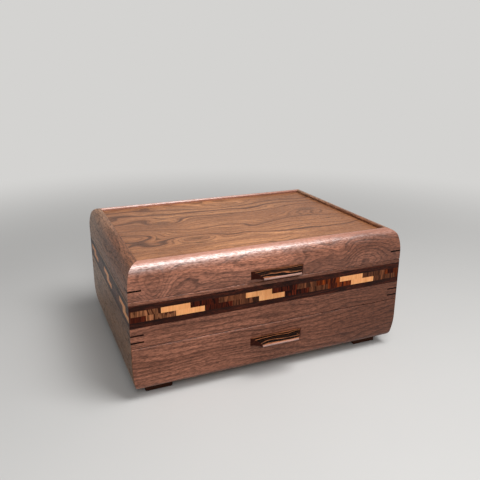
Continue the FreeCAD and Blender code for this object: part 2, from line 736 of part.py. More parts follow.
def make_mosaic():
    """Blocks of both rows on all four faces, one node for each wood."""
    blocks = {}
    rows = (("upper", "levels.lower_row_top", "levels.upper_row_top", "0"),
            ("lower", "levels.lower_row", "levels.lower_row_top", "sizes.cell_length"))
    for face, (run, first_wood, used) in BAND_STARTS.items():
        limit = "%s - sizes.inlay_depth" % half_along(face)
        for row, bottom, top, lag in rows:
            start = "0 - (%s) - (%s) + %s" % (limit, used, lag)
            index = [wood for wood, length in run].index(first_wood)
            while value(start) < value(limit) - TOUCH:
                wood, length = run[index % len(run)]
                end = "%s + %s" % (start, length)
                if value(end) > -value(limit) + TOUCH:
                    seen_start = start if value(start) > -value(limit) else lower(limit)
                    seen_end = end if value(end) < value(limit) else limit
                    name = "block_%s_%s_%d" % (face, row, index)
                    block = make_box_on_face(name, face, seen_start, seen_end, bottom, top)
                    blocks.setdefault(wood, []).append(block)
                start = end
                index += 1
    for wood, solids in sorted(blocks.items()):
        group("band_%s_blocks" % wood, solids)


def make_banding():
    for name, bottom in (("band_upper_strips", "levels.upper_row_top"), ("band_lower_strips", "levels.band")):
        group(name, [make_strip("%s_%s" % (name, face), face, bottom) for face in FACES])
    posts = []
    for side_x in (-1, 1):
        for side_y in (-1, 1):
            x = "%d * (levels.half_width - sizes.inlay_depth / 2) - sizes.inlay_depth / 2" % side_x
            y = "%d * (levels.half_depth - sizes.inlay_depth / 2) - sizes.inlay_depth / 2" % side_y
            posts.append(make_box("post_%d" % len(posts), (x, y, "levels.lower_row"),
                                  (x + " + sizes.inlay_depth", y + " + sizes.inlay_depth",
                                   "levels.upper_row_top")))
    group("band_corner_posts", posts)
    make_mosaic()


# ---------------------------------------------------------------- hinges


def hinge_sides():
    return (("left", -1), ("right", 1))


def leaf_screws(part):
    """The screws of both leaves that belong to the case or to the lid."""
    screws = []
    up = 1 if part == "lid" else -1
    for side, sign in hinge_sides():
        for number in range(SCREWS_PER_LEAF):
            step = number - (SCREWS_PER_LEAF - 1) / 2
            x = "%d * levels.hinge_x + %s * sizes.hinge_length / %d" % (sign, step, SCREWS_PER_LEAF)
            base = (x, "levels.half_depth - sizes.leaf_width / 2",
                    "levels.lid_line + %d * sizes.leaf_sink" % up)
            screws.append(Screw("%s_screw_%s_%d" % (part, side, number), base, (0, 0, up),
                                "sizes.screw_length", "sizes.screw_radius", "sizes.screw_head_radius"))
    return screws


def leaf_screw_holes(part):
    return [screw.hole(screw.name + "_in_wood") for screw in leaf_screws(part)]


def make_leaf(part, side, sign):
    """One leaf: a plate in its mortise and the knuckles that belong to it, bored for the pin."""
    name = "%s_leaf_%s" % (part, side)
    up = 1 if part == "lid" else -1
    near = "levels.lid_line + %d * sizes.leaf_sink" % up
    far = "levels.lid_line + %d * levels.mortise" % up
    bottom, top = (near, far) if up > 0 else (far, near)
    start = "%d * levels.hinge_x - sizes.hinge_length / 2" % sign
    plate = make_box(name + "_plate", (start, "levels.half_depth - sizes.leaf_width", bottom),
                     (start + " + sizes.hinge_length", "levels.half_depth", top))
    solids = [plate]
    for number in range(KNUCKLES):
        if (number % 2 == 1) == (part == "lid"):
            edge = "%s + %d * (levels.knuckle + sizes.knuckle_gap)" % (start, number)
            base = (edge, "levels.hinge_y", "levels.lid_line")
            solids.append(make_rod("%s_knuckle_%d" % (name, number), "sizes.knuckle_radius",
                                   "levels.knuckle", base, (1, 0, 0)))
            solids.append(make_box("%s_web_%d" % (name, number), (edge, "levels.half_depth", bottom),
                                   (edge + " + levels.knuckle", "levels.hinge_y", top)))
    blank = fuse(name, *solids)
    bore = make_rod(name + "_bore", "levels.bore", "sizes.hinge_length + 2 * %d" % CUT,
                    (start + " - %d" % CUT, "levels.hinge_y", "levels.lid_line"), (1, 0, 0))
    holes = [screw.hole(screw.name + "_in_leaf") for screw in leaf_screws(part) if side in screw.name]
    keep(cut_away(name, blank, [bore] + holes), "hinge_%s_%s_leaf" % (side, part))


def make_hinges():
    for side, sign in hinge_sides():
        for part in ("case", "lid"):
            make_leaf(part, side, sign)
        start = "%d * levels.hinge_x - sizes.hinge_length / 2" % sign
        keep(make_rod("pin_" + side, "sizes.hinge_pin_radius", "sizes.hinge_length",
                      (start, "levels.hinge_y", "levels.lid_line"), (1, 0, 0)), "hinge_%s_pin" % side)
    for part in ("case", "lid"):
        group("hinge_%s_screws" % part, [screw.solid() for screw in leaf_screws(part)])


# ---------------------------------------------------------------- handles


def make_handle(name, bottom, screws):
    """A pull with a crowned top that falls to a thin lip, a finger cove below and slanted ends."""
    body = make_body(name)
    wall = "0 - levels.half_depth"
    tip = "0 - levels.half_depth - sizes.handle_projection"
    top = "%s + sizes.handle_height" % bottom
    lip_top = "%s - sizes.handle_drop" % top
    lip_bottom = "%s - sizes.handle_lip" % lip_top
    corners = [(wall, bottom), (wall, top), (tip, lip_top), (tip, lip_bottom)]
    crown = arc_centre((wall, top), (tip, lip_top), "sizes.handle_crown_radius", below=True)
    cove = arc_centre((tip, lip_bottom), (wall, bottom), "sizes.handle_cove_radius", below=True)
    profile = make_sketch(body, "YZ_Plane")
    outline(profile, corners, {1: ("sizes.handle_crown_radius", crown, True),
                               3: ("sizes.handle_cove_radius", cove, False)})
    pad(body, profile, "sizes.handle_base_length", symmetric=True)
    ends = make_sketch(body, "XY_Plane", "%s + %d" % (top, CUT))
    slope = "(sizes.handle_base_length - sizes.handle_tip_length) / 2 / sizes.handle_projection"
    for side in (-1, 1):
        root = "%d * (sizes.handle_base_length / 2 + %d * %s)" % (side, CUT, slope)
        point = "%d * (sizes.handle_tip_length / 2 - %d * %s)" % (side, CUT, slope)
        beyond = "%d * (sizes.handle_base_length / 2 + 2 * %d)" % (side, CUT)
        outline(ends, [(root, wall + " + %d" % CUT), (point, tip + " - %d" % CUT),
                       (beyond, tip + " - %d" % CUT), (beyond, wall + " + %d" % CUT)])
    cut = pocket(body, ends)
    doc.recompute()
    face_y = value(wall) - TOUCH
    edges = ["Edge%d" % (number + 1) for number, edge in enumerate(cut.Shape.Edges)
             if edge.BoundBox.YMax < face_y and edge.BoundBox.XLength > CUT]
    soft = body.newObject("PartDesign::Fillet", name + "_fillet")
    soft.Base = (cut, edges)
    bind(soft, Radius="sizes.handle_softening")
    stand_in_case(body)
    holes = [screw.hole(screw.name + "_in_handle") for screw in screws]
    return cut_away(name, body, holes)


def arc_centre(start, end, radius, below):
    """Expressions for the centre of an arc from start to end, on the lower or the upper side of its chord."""
    run_y = "(%s - (%s))" % (end[0], start[0])
    run_z = "(%s - (%s))" % (end[1], start[1])
    chord = "sqrt(%s ^ 2 + %s ^ 2)" % (run_y, run_z)
    rise = "sqrt((%s) ^ 2 - (%s ^ 2 + %s ^ 2) / 4)" % (radius, run_y, run_z)
    sign = -1 if below else 1
    # the normal of the chord that points up is (run_z, -run_y) or its opposite, by the way y runs
    if value(run_y) > 0:
        sign = -sign
    centre_y = "(%s + %s) / 2 + %d * %s * %s / %s" % (start[0], end[0], sign, rise, run_z, chord)
    centre_z = "(%s + %s) / 2 - %d * %s * %s / %s" % (start[1], end[1], sign, rise, run_y, chord)
    return centre_y, centre_z


# ---------------------------------------------------------------- lid


def make_lid():
    lid_handle_screws = handle_screws("lid_handle_screw", "levels.lid_handle", "levels.front_back_face")
    for face in ("left", "right"):
        body = mitred_board("lid_rail_" + face, face, lid_section(face))
        cut_kerfs(body, face, "levels.lid_key + sizes.key_thickness", 1)
        keep(body, "lid_%s_rail" % face)
    back = mitred_board("lid_rail_back", "back", lid_section("back"))
    cut_kerfs(back, "back", "levels.lid_key + sizes.key_thickness", 1)
    cut_mortises(back, "levels.lid_line", upward=True)
    doc.recompute()
    keep(cut_away("lid_rail_back", back, leaf_screw_holes("lid")), "lid_back_rail")
    front = mitred_board("lid_rail_front", "front", lid_section("front"))
    cut_kerfs(front, "front", "levels.lid_key + sizes.key_thickness", 1)
    holes = [screw.hole(screw.name + "_in_rail") for screw in lid_handle_screws]
    keep(cut_away("lid_rail_front", front, holes), "lid_front_rail")
    field_x = "levels.inner_x - sizes.lid_field_gap"
    field_y = "levels.inner_y - sizes.lid_field_gap"
    tongue_x = "levels.inner_x + levels.panel_reach"
    tongue_y = "levels.inner_y + levels.panel_reach"
    field = make_box("lid_field", (lower(field_x), lower(field_y), "levels.lid_panel"),
                     (field_x, field_y, "levels.lid_panel_top"))
    tongue = make_box("lid_tongue", (lower(tongue_x), lower(tongue_y), "levels.lid_panel"),
                      (tongue_x, tongue_y, "levels.lid_tongue_top"))
    keep(fuse("lid_panel", field, tongue), "lid_panel")
    pad_x = "levels.inner_x - sizes.felt_gap"
    pad_y = "levels.inner_y - sizes.felt_gap"
    keep(make_box("lining", (lower(pad_x), lower(pad_y), "levels.lid_panel - sizes.lining_thickness"),
                  (pad_x, pad_y, "levels.lid_panel")), "lid_lining")
    keep(make_handle("lid_pull", "levels.lid_handle", lid_handle_screws), "lid_handle")
    group("lid_handle_screws", [screw.solid() for screw in lid_handle_screws])


# ---------------------------------------------------------------- drawer


def pin_edges(bottom, top, number, wide):
    """Lower and upper edge of one dovetail pin; the first and the last are half pins."""
    centre = "%s + %d * (%s - (%s)) / %d" % (bottom, number, top, bottom, TAILS)
    half = "sizes.dovetail_pin / 2"
    if wide:
        half += " + sizes.dovetail_flare"
    low = bottom if number == 0 else "%s - (%s)" % (centre, half)
    high = top if number == TAILS else "%s + %s" % (centre, half)
    return low, high


def draw_pins(sketch, end, shoulder, bottom, top):
    """Pins as they show from the side: narrow at the joint's end and wide at its shoulder."""
    for number in range(TAILS + 1):
        narrow = pin_edges(bottom, top, number, wide=False)
        wide = pin_edges(bottom, top, number, wide=True)
        outline(sketch, [(end, narrow[0]), (shoulder, wide[0]), (shoulder, wide[1]), (end, narrow[1])])


def draw_tails(sketch, end, shoulder, bottom, top):
    """Tails that fill the spaces between those pins."""
    for number in range(TAILS):
        narrow = (pin_edges(bottom, top, number, True)[1], pin_edges(bottom, top, number + 1, True)[0])
        wide = (pin_edges(bottom, top, number, False)[1], pin_edges(bottom, top, number + 1, False)[0])
        outline(sketch, [(end, wide[0]), (shoulder, narrow[0]), (shoulder, narrow[1]), (end, wide[1])])


def make_drawer_side(side, sign):
    """Side with tails at both ends; the back board stands on the bottom panel."""
    body = make_body("drawer_side_" + side)
    inner = "%d * levels.drawer_inner_x" % sign
    # both sketches lie on the side's left-hand face, and the boards grow to the right
    left_face = "0 - levels.drawer_outer_x" if sign < 0 else "levels.drawer_inner_x"
    board = make_sketch(body, "YZ_Plane", left_face)
    rectangle(board, "levels.drawer_inner_front", "levels.drawer_inner_back",
              "levels.drawer_base", "levels.drawer_rim")
    pad(body, board, "sizes.drawer_side_thickness")
    tails = make_sketch(body, "YZ_Plane", left_face)
    draw_tails(tails, "levels.front_back_face", "levels.drawer_inner_front",
               "levels.drawer_base", "levels.drawer_rim")
    draw_tails(tails, "levels.drawer_outer_back", "levels.drawer_inner_back",
               "levels.drawer_bottom_top", "levels.drawer_rim")
    rectangle(tails, "levels.drawer_inner_back", "levels.drawer_outer_back",
              "levels.drawer_base", "levels.drawer_bottom_top")
    pad(body, tails, "sizes.drawer_side_thickness")
    slot = make_sketch(body, "YZ_Plane", inner)
    rectangle(slot, "levels.front_back_face - %d" % CUT, "levels.drawer_outer_back + %d" % CUT,
              "levels.drawer_bottom", "levels.drawer_bottom_top")
    pocket(body, slot, "sizes.drawer_groove_depth", reverse=sign > 0)
    stand_in_case(body)
    keep(body, "drawer_%s_side" % side)


def make_drawer_end(name, end, shoulder, bottom):
    """Board across the drawer with pins at both ends."""
    body = make_body(name)
    board = make_sketch(body, "YZ_Plane")
    low, high = (end, shoulder) if value(end) < value(shoulder) else (shoulder, end)
    rectangle(board, low, high, bottom, "levels.drawer_rim")
    pad(body, board, "2 * levels.drawer_inner_x", symmetric=True)
    pins = make_sketch(body, "YZ_Plane")
    draw_pins(pins, end, shoulder, bottom, "levels.drawer_rim")
    pad(body, pins, "2 * levels.drawer_outer_x", symmetric=True)
    stand_in_case(body)
    return body


def front_screws():
    """Four screws from inside the drawer into its front."""
    screws = []
    for side, sign in hinge_sides():
        for level, height in (("low", "levels.drawer_bottom_top + sizes.front_screw_margin"),
                              ("high", "levels.drawer_rim - sizes.front_screw_margin")):
            base = ("%d * (levels.drawer_inner_x - sizes.front_screw_inset)" % sign,
                    "levels.drawer_inner_front", height)
            screws.append(Screw("front_screw_%s_%s" % (side, level), base, (0, -1, 0),
                                "sizes.drawer_end_thickness + sizes.front_screw_grip",
                                "sizes.long_screw_radius", "sizes.long_screw_head_radius"))
    return screws


def make_drawer():
    pull_screws = handle_screws("drawer_handle_screw", "levels.drawer_handle", "levels.front_back_face")
    box_screws = front_screws()
    front = mitred_board("drawer_front_board", "front", drawer_front_section(), "sizes.drawer_end_clearance")
    holes = [screw.hole(screw.name + "_in_front") for screw in pull_screws + box_screws]
    keep(cut_away("drawer_front_board", front, holes), "drawer_front")
    keep(make_handle("drawer_pull", "levels.drawer_handle", pull_screws), "drawer_handle")
    group("drawer_handle_screws", [screw.solid() for screw in pull_screws])
    for side, sign in hinge_sides():
        make_drawer_side(side, sign)
    inner_front = make_drawer_end("drawer_inner_front", "levels.front_back_face", "levels.drawer_inner_front",
                                  "levels.drawer_base")
    slot = make_sketch(inner_front, "YZ_Plane")
    rectangle(slot, "levels.drawer_inner_front - sizes.drawer_groove_depth",
              "levels.drawer_inner_front + %d" % CUT, "levels.drawer_bottom", "levels.drawer_bottom_top")
    pocket(inner_front, slot, "2 * levels.drawer_inner_x", symmetric=True)
    holes = [screw.hole(screw.name + "_in_box") for screw in box_screws]
    keep(cut_away("drawer_inner_front", inner_front, holes), "drawer_box_front")
    group("drawer_front_screws", [screw.solid() for screw in box_screws])
    keep(make_drawer_end("drawer_end_back", "levels.drawer_outer_back", "levels.drawer_inner_back",
                         "levels.drawer_bottom_top"), "drawer_back")
    reach_x = "levels.drawer_inner_x + sizes.drawer_groove_depth - sizes.felt_gap"
    front_edge = "levels.drawer_inner_front - sizes.drawer_groove_depth + sizes.felt_gap"
    keep(make_box("drawer_panel", (lower(reach_x), front_edge, "levels.drawer_bottom"),
                  (reach_x, "levels.drawer_outer_back", "levels.drawer_bottom_top")), "drawer_bottom")
    felt_x = "levels.drawer_inner_x - sizes.felt_gap"
    keep(make_box("drawer_cloth", (lower(felt_x), "levels.drawer_inner_front + sizes.felt_gap",
                                   "levels.drawer_bottom_top"),
                  (felt_x, "levels.drawer_inner_back - sizes.felt_gap", "levels.drawer_felt_top")),
         "drawer_felt")


# ---------------------------------------------------------------- dividers


def make_divider(name, along, ends, across, thickness, bottom, height, crossings, notch_on_top):
    """An upright board with half-lap notches, cut from above or from below.

    along is the axis that it runs on, ends are its two ends there, across is its middle on the other
    axis, and crossings gives the first notch, the pitch and how many notches there are.
    """
    body = make_body(name)
    plane = "XZ_Plane" if along == "x" else "YZ_Plane"
    # the XZ plane's normal points to the front, so a place further back is a negative offset
    face = "0 - (%s)" % across if along == "x" else across
    offset = "%s - %s / 2" % (face, thickness)
    board = make_sketch(body, plane, offset)
    top = "%s + %s" % (bottom, height)
    rectangle(board, ends[0], ends[1], bottom, top)
    pad(body, board, thickness)
    first, pitch, count = crossings
    half_notch = "%s / 2 + sizes.lap_clearance" % thickness
    middle = "%s + %s / 2" % (bottom, height)
    low, high = (middle, top + " + %d" % CUT) if notch_on_top else (bottom + " - %d" % CUT, middle)
    notch = make_sketch(body, plane, offset + " + %s + %d" % (thickness, CUT))
    rectangle(notch, "%s - (%s)" % (first, half_notch), "%s + %s" % (first, half_notch), low, high)
    cut = pocket(body, notch, "%s + 2 * %d" % (thickness, CUT))
    if count > 1:
        axis = "X_Axis" if along == "x" else "Y_Axis"
        repeat(body, cut, axis, "%d * (%s)" % (count - 1, pitch), count)
    stand_in_case(body)
    keep(body, name)


def pitch_of(inner, thickness, cells):
    """Middle of one divider to the middle of the next."""
    return "(2 * %s + %s) / %d" % (inner, thickness, cells)


def make_compartments():
    """Felt, and dividers that cross each other at half laps."""
    felt_x = "levels.inner_x - sizes.felt_gap"
    felt_y = "levels.inner_y - sizes.felt_gap"
    keep(make_box("cloth", (lower(felt_x), lower(felt_y), "levels.floor_top"),
                  (felt_x, felt_y, "levels.felt_top")), "compartment_felt")
    thickness = "sizes.divider_thickness"
    pitch_x = pitch_of("levels.inner_x", thickness, CELLS_ALONG)
    pitch_y = pitch_of("levels.inner_y", thickness, CELLS_DEEP)
    end_x = "levels.inner_x - sizes.divider_end_gap"
    end_y = "levels.inner_y - sizes.divider_end_gap"
    crossings_x = CELLS_ALONG - 1
    crossings_y = CELLS_DEEP - 1
    first_x = "0 - %d * (%s) / 2" % (crossings_x - 1, pitch_x)
    first_y = "0 - %d * (%s) / 2" % (crossings_y - 1, pitch_y)
    for number in range(crossings_y):
        make_divider("long_divider_%d" % (number + 1), "x", (lower(end_x), end_x),
                     "%s + %d * (%s)" % (first_y, number, pitch_y), thickness, "levels.felt_top",
                     "sizes.divider_height", (first_x, pitch_x, crossings_x), notch_on_top=True)
    for number in range(crossings_x):
        make_divider("cross_divider_%d" % (number + 1), "y", (lower(end_y), end_y),
                     "%s + %d * (%s)" % (first_x, number, pitch_x), thickness, "levels.felt_top",
                     "sizes.divider_height", (first_y, pitch_y, crossings_y), notch_on_top=False)


def make_drawer_dividers():
    """Two dividers that cross in the middle of the drawer."""
    thickness = "sizes.drawer_divider_thickness"
    middle_y = "(levels.drawer_inner_front + levels.drawer_inner_back) / 2"
    end_x = "levels.drawer_inner_x - sizes.divider_end_gap"
    make_divider("drawer_long_divider", "x", (lower(end_x), end_x), middle_y, thickness,
                 "levels.drawer_felt_top", "sizes.drawer_divider_height", ("0", "0", 1), notch_on_top=True)
    make_divider("drawer_cross_divider", "y",
                 ("levels.drawer_inner_front + sizes.divider_end_gap",
                  "levels.drawer_inner_back - sizes.divider_end_gap"), "0", thickness,
                 "levels.drawer_felt_top", "sizes.drawer_divider_height", (middle_y, "0", 1),
                 notch_on_top=False)


# ---------------------------------------------------------------- check and export


def check_document():
    doc.recompute()
    for thing in doc.Objects:
        for problem in ("Invalid", "Error"):
            if problem in thing.State:
                raise RuntimeError("%s is %s" % (thing.Label, problem))
    for piece in NODES:
        if piece.Shape.isNull() or not piece.Shape.isValid() or not piece.Shape.Solids:
            raise RuntimeError("%s has no valid shape" % piece.Label)


def export_nodes():
    os.makedirs("parts", exist_ok=True)
    for piece in NODES:
        piece.Shape.exportStep("parts/%s.step" % piece.Label)


make_case()
make_feet()
make_keys("case_splines", ["levels.case_key", "levels.case_key + sizes.case_key_pitch"])
make_keys("lid_splines", ["levels.lid_key"])
make_banding()
make_compartments()
make_hinges()
make_lid()
make_drawer()
make_drawer_dividers()
check_document()
export_nodes()
print("%d nodes, %d solids" % (len(NODES), sum(len(piece.Shape.Solids) for piece in NODES)))
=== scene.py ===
"""Cufflink box with drawer: woods, banding, linings, hinges and studio, dressed over the box's own frame."""

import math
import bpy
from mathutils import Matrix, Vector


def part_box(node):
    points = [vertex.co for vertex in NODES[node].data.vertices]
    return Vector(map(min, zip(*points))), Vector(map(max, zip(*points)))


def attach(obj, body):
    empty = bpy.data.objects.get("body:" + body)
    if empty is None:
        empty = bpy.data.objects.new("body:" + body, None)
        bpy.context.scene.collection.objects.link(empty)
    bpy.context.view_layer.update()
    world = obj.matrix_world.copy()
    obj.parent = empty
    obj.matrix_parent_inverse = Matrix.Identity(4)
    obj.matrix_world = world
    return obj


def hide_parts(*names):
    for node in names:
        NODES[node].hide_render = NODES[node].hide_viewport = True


bl_info = {
    "name": "Cufflink Box with Drawer",
    "version": (1, 0, 0),
    "blender": (4, 5, 0),
    "location": "View3D > Sidebar > Cufflink Box",
    "description": "Woods, banding, linings, screws and studio for a cufflink box with a drawer",
    "category": "Object",
}

import bmesh
import bpy
from mathutils import Vector, noise

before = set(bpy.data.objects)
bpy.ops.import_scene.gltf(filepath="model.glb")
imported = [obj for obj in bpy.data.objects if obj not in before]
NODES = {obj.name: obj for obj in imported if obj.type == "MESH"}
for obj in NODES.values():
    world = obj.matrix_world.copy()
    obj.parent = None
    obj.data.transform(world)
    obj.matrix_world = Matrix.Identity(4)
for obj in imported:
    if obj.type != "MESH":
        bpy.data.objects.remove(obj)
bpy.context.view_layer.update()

HANDS = ("left", "right")

# Turns of the coordinates for boards whose grain runs along Y, and for upright ones.
ALONG_Y = (0, 0, math.radians(90))
UPRIGHT = (0, math.radians(90), 0)

# Light, dark and ring colours of the woods that have no setting of their own.
TONES = {
    "case_sides": ("bf8c63", "704b33"),
    "lid_sides": ("db9a74", "8f5b41"),
    # The feet's dark colours are painted shade, for the shadow under the box.
    "feet": ("4f2b1b", "2b160e"),
    "rosewood": ("7d2d13", "260b06", "0b0403"),
    "walnut": ("985a3a", "452517", "1e0f09"),
    "zebrano": ("cc8358", "4d2716", "1c0c07"),
    "cocobolo": ("b04d18", "3e130a", "0e0504"),
    "drawer_maple": ("e8cda4", "d3b083", "a67f52"),
    "birch": ("e3c79b", "cfa877", "9c7446"),
}
DIVIDER_LIGHT, MAPLE_RING = "946650", "c47f48"
# The second of these is a painted sheen, paler towards the back of the sides; the third is a painted
# highlight, paler under the lid's rim.
FRONT_SHADE, SIDE_PAINTED_SHEEN, RIM_PAINTED_HIGHLIGHT = "2a1008", "dcae8c", "d8937a"

# How much lighter than the walnut's own colours the boards of the case's front and the lid's are.
CASE_LIFT, LID_LIFT = 1.5, 1.6

# The lid's shoulder, with more gloss and a painted highlight in a paler colour: its foot, the height over
# which gloss and painted highlight come in, the edges below the rim where they end, and where both have
# grown faint to the right.
SHOULDER_FOOT, SHOULDER_RISE = 0.14, 0.006
RIM_WORN, RIM_EDGE = 0.0012, 0.0004
GLOSS_AND_HIGHLIGHT_FADE_TO = 0.13
COAT_ROUGHNESS, COAT_IOR = 0.39, 2.25

# Grains of noise to a metre along and across a board: the rings' waver, the breaks in them, the flecks and
# the slow change of tone. Then the grain's depth, and how far apart the blocks lie in it.
WAVER, BREAKS, FLECKS, SLOW_TONE = (45, 160, 160), (22, 55, 55), (240, 850, 850), (9, 26, 26)
GRAIN_DEPTH, BLOCK_SEEDS = 0.00008, 40.0
SCRATCHES = 6000.0

# Handles: how far the ends slant in for every metre out, and where end grain and the lip's painted highlight
# shade off.
HANDLE_SLANT = 0.713
END_EDGE, LIP_HIGHLIGHT_EDGE = (-0.0007, -0.0002), (0.0002, 0.0009)

# Felt: waves to a metre, width and depth of its pressed edge. Pad: waves to a metre, their height, how far
# the crown stays back and how far the sides are drawn in.
FELT_WAVES, FELT_EDGE, FELT_DROP = 60, 0.003, 0.0003
PAD_WAVES, PAD_RIPPLE, PAD_EASE, PAD_PULL = 45, 0.00012, 0.00015, 0.0006

# Screws: where they are, body, the way the head faces, shank radius and metal.
SCREWS = (
    ("hinge_case", "case", (0, 0, 1), 0.0011, "brass"),
    ("hinge_lid", "lid", (0, 0, -1), 0.0011, "brass"),
    ("lid_handle", "lid", (0, 1, 0), 0.0015, "steel"),
    ("drawer_handle", "drawer", (0, 1, 0), 0.0015, "steel"),
    ("drawer_front", "drawer", (0, 1, 0), 0.0015, "steel"),
)
# Sides of a screw's round, height of its head's edge, the share of its length at which it tapers, its tip.
SCREW_SIDES, HEAD_EDGE, TAPER_FROM, TIP_RADIUS = 24, 0.00012, 0.82, 0.0003

# Softboxes with their place, size and power setting, the spot that they aim at, the floor's reach, and the
# distances from the box between which it turns into the backdrop.
SOFTBOXES = (
    ("key_softbox", (0.31, -0.47, 1.25), (0.62, 0.8), "key_power"),
    ("fill_softbox", (-0.32, -0.95, 0.75), (0.45, 0.45), "fill_power"),
)
AIM = Vector((0, 0, 0.08))
FLOOR_REACH = 12.0
FLOOR_BLEND = (0.35, 1.2)
SENSOR_WIDTH = 36


def paint(code):
    """A colour written as six hexadecimal digits, as the linear values that a socket takes."""
    channels = [int(code[at:at + 2], 16) / 255 for at in (0, 2, 4)]
    return tuple(c / 12.92 if c <= 0.04045 else ((c + 0.055) / 1.055) ** 2.4 for c in channels)


def tones(name):
    """Light, dark and, where it has its own, ring colour of a wood in the table."""
    return [paint(code) for code in TONES[name]]


def toned(shade, factor):
    """A colour made lighter or darker by a factor."""
    return tuple(c * factor for c in shade)


def colour(name, code, description):
    return bpy.props.FloatVectorProperty(
        name=name, description=description, subtype="COLOR", size=3, min=0, max=1, default=paint(code))


def length(name, metres, description):
    return bpy.props.FloatProperty(
        name=name, description=description, unit="LENGTH", precision=4, min=0, default=metres)


def number(name, amount, description, **limits):
    return bpy.props.FloatProperty(name=name, description=description, default=amount, **limits)


def share(name, amount, description):
    return number(name, amount, description, subtype="FACTOR", min=0, max=1)


# ---------------------------------------------------------------- settings


class CufflinkWoods(bpy.types.PropertyGroup):
    """Colours and finish of the box's woods."""

    walnut_light: colour("Walnut, Light", "b4775e", "Walnut between the growth rings")
    walnut_dark: colour("Walnut, Dark", "6c4231", "Walnut in its darker bands")
    walnut_ring: colour("Walnut, Ring", "2a150f", "Thin lines of the walnut's growth rings")
    panel_light: colour("Panel, Light", "e6a06d", "Lid panel between its streaks")
    panel_middle: colour("Panel, Middle", "9c6340", "Lid panel's middle bands")
    panel_streak: colour("Panel, Streak", "2e1a12", "Dark streaks and knots of the lid panel")
    handle_black: colour("Handle, Black", "120a08", "Heartwood of the handles")
    handle_streak: colour("Handle, Streak", "c47a50", "Thin orange streaks of the handles")
    # Painted highlight: the pale colour of the handles' lip.
    handle_lip_highlight: colour("Handle, Lip", "d2aca2", "Rubbed lip of the handles")
    handle_end: colour("Handle, End", "3c1b14", "End grain of the handles")
    strip: colour("Strip", "5d2919", "Dark strips, posts and keys")
    strip_ring: colour("Strip, Ring", "120604", "Black lines in the strips")
    maple_light: colour("Maple, Light", "ffba7e", "Maple blocks")
    maple_dark: colour("Maple, Dark", "f0a268", "Maple blocks, fibres")
    finish_roughness: share("Finish Roughness", 0.3, "How dull the satin oil finish is")
    gloss: share("Gloss", 0.5, "Strength of the finish's reflection")
    ring_spacing: length("Ring Spacing", 0.0034, "One growth ring of the walnut to the next")


class CufflinkLinings(bpy.types.PropertyGroup):
    """Felt in the compartments and the suede pad in the lid."""

    felt: colour("Felt", "33383b", "Felt under the dividers and in the drawer")
    suede: colour("Suede", "4a4441", "Suede on the lid's pad")
    felt_step: length("Felt Step", 0.003, "Mesh size of the felt sheets")
    felt_wave: length("Felt Wave", 0.00015, "How uneven the felt lies")
    pad_step: length("Pad Step", 0.003, "Mesh size of the lid's pad")
    pad_edge: length("Pad Edge", 0.0016, "Thickness of the pad where its sides turn in")
    pad_shoulder: length("Pad Shoulder", 0.016, "Width over which the pad rises to its full thickness")


class CufflinkHardware(bpy.types.PropertyGroup):
    """Brass hinges and the screws."""

    brass: colour("Brass", "cdb685", "Hinges and their screws")
    steel: colour("Steel", "b9bcc0", "Screws of the handles and of the drawer front")
    slot_width: share("Slot Width", 0.24, "Width of a screw's slot against its head's radius")
    slot_depth: share("Slot Depth", 0.34, "Depth of a screw's slot against its head's radius")
    turn_seed: bpy.props.IntProperty(name="Turn Seed", description="Which way each slot points", default=7)


class CufflinkStudio(bpy.types.PropertyGroup):
    """Floor, lamps and camera."""

    floor: colour("Floor", "cfcecc", "Pale floor")
    backdrop: colour("Backdrop", "d4d3d1", "Backdrop, and the floor far from the box")
    key_power: number(
        "Key Power", 15.0, "Softbox above, a little to the front and the right", unit="POWER", min=0)
    fill_power: number("Fill Power", 4.5, "Softbox at the front left", unit="POWER", min=0)
    sky: number("Sky", 0.15, "Strength of the even light all round", min=0)
    camera_place: bpy.props.FloatVectorProperty(
        name="Camera Place", description="Where the camera stands", subtype="TRANSLATION", unit="LENGTH",
        size=3, default=(-0.25453, -0.61309, 0.34296))
    camera_turn: bpy.props.FloatVectorProperty(
        name="Camera Turn", description="Which way the camera looks", subtype="EULER", unit="ROTATION",
        size=3, default=(math.radians(71.7435), math.radians(-0.1541), math.radians(-22.9708)))
    lens: number("Lens", 40.74, "Focal length in millimetres, on a 36 mm sensor", min=1)


# ---------------------------------------------------------------- shader trees


GROUPS = {}
SOCKETS = {float: "Float", int: "Int", tuple: "Vector"}
MIX_SOCKETS = {"RGBA": (6, 7, 2), "VECTOR": (4, 5, 1)}


def feed(value, socket):
    """Link a socket to an input, or write a plain value there."""
    if isinstance(value, bpy.types.NodeSocket):
        socket.id_data.links.new(value, socket)
    elif socket.type == "RGBA" and len(value) == 3:
        socket.default_value = (*value, 1)
    else:
        socket.default_value = value


def add(tree, kind, inputs=None, **settings):
    """Add a node, set its properties and feed its inputs by name or number."""
    node = tree.nodes.new(kind)
    for name, value in settings.items():
        setattr(node, name, value)
    for name, value in (inputs or {}).items():
        feed(value, node.inputs[name])
    return node


def step(kind, inputs, **settings):
    """Outputs of a new node, in the tree that its linked inputs come from."""
    source = next(value for value in inputs.values() if isinstance(value, bpy.types.NodeSocket))
    return add(source.id_data, kind, inputs, **settings).outputs


def sums(operation, *terms):
    """One step of arithmetic on numbers."""
    return step("ShaderNodeMath", dict(enumerate(terms)), operation=operation)[0]


def times(first, *others):
    """Numbers multiplied one after another."""
    for other in others:
        first = sums("MULTIPLY", first, other)
    return first


def vectors(operation, *terms):
    """One step of arithmetic on vectors."""
    made = step("ShaderNodeVectorMath", dict(enumerate(terms)), operation=operation)
    return made["Value" if operation in ("LENGTH", "DOT_PRODUCT") else "Vector"]


def scaled(vector, factor):
    """A vector or colour times a number."""
    return step("ShaderNodeVectorMath", {0: vector, "Scale": factor}, operation="SCALE")[0]


def combine(*parts):
    """A vector from three numbers."""
    return step("ShaderNodeCombineXYZ", dict(enumerate(parts)))[0]


def separate(vector):
    """The three numbers of a vector."""
    return step("ShaderNodeSeparateXYZ", {0: vector})


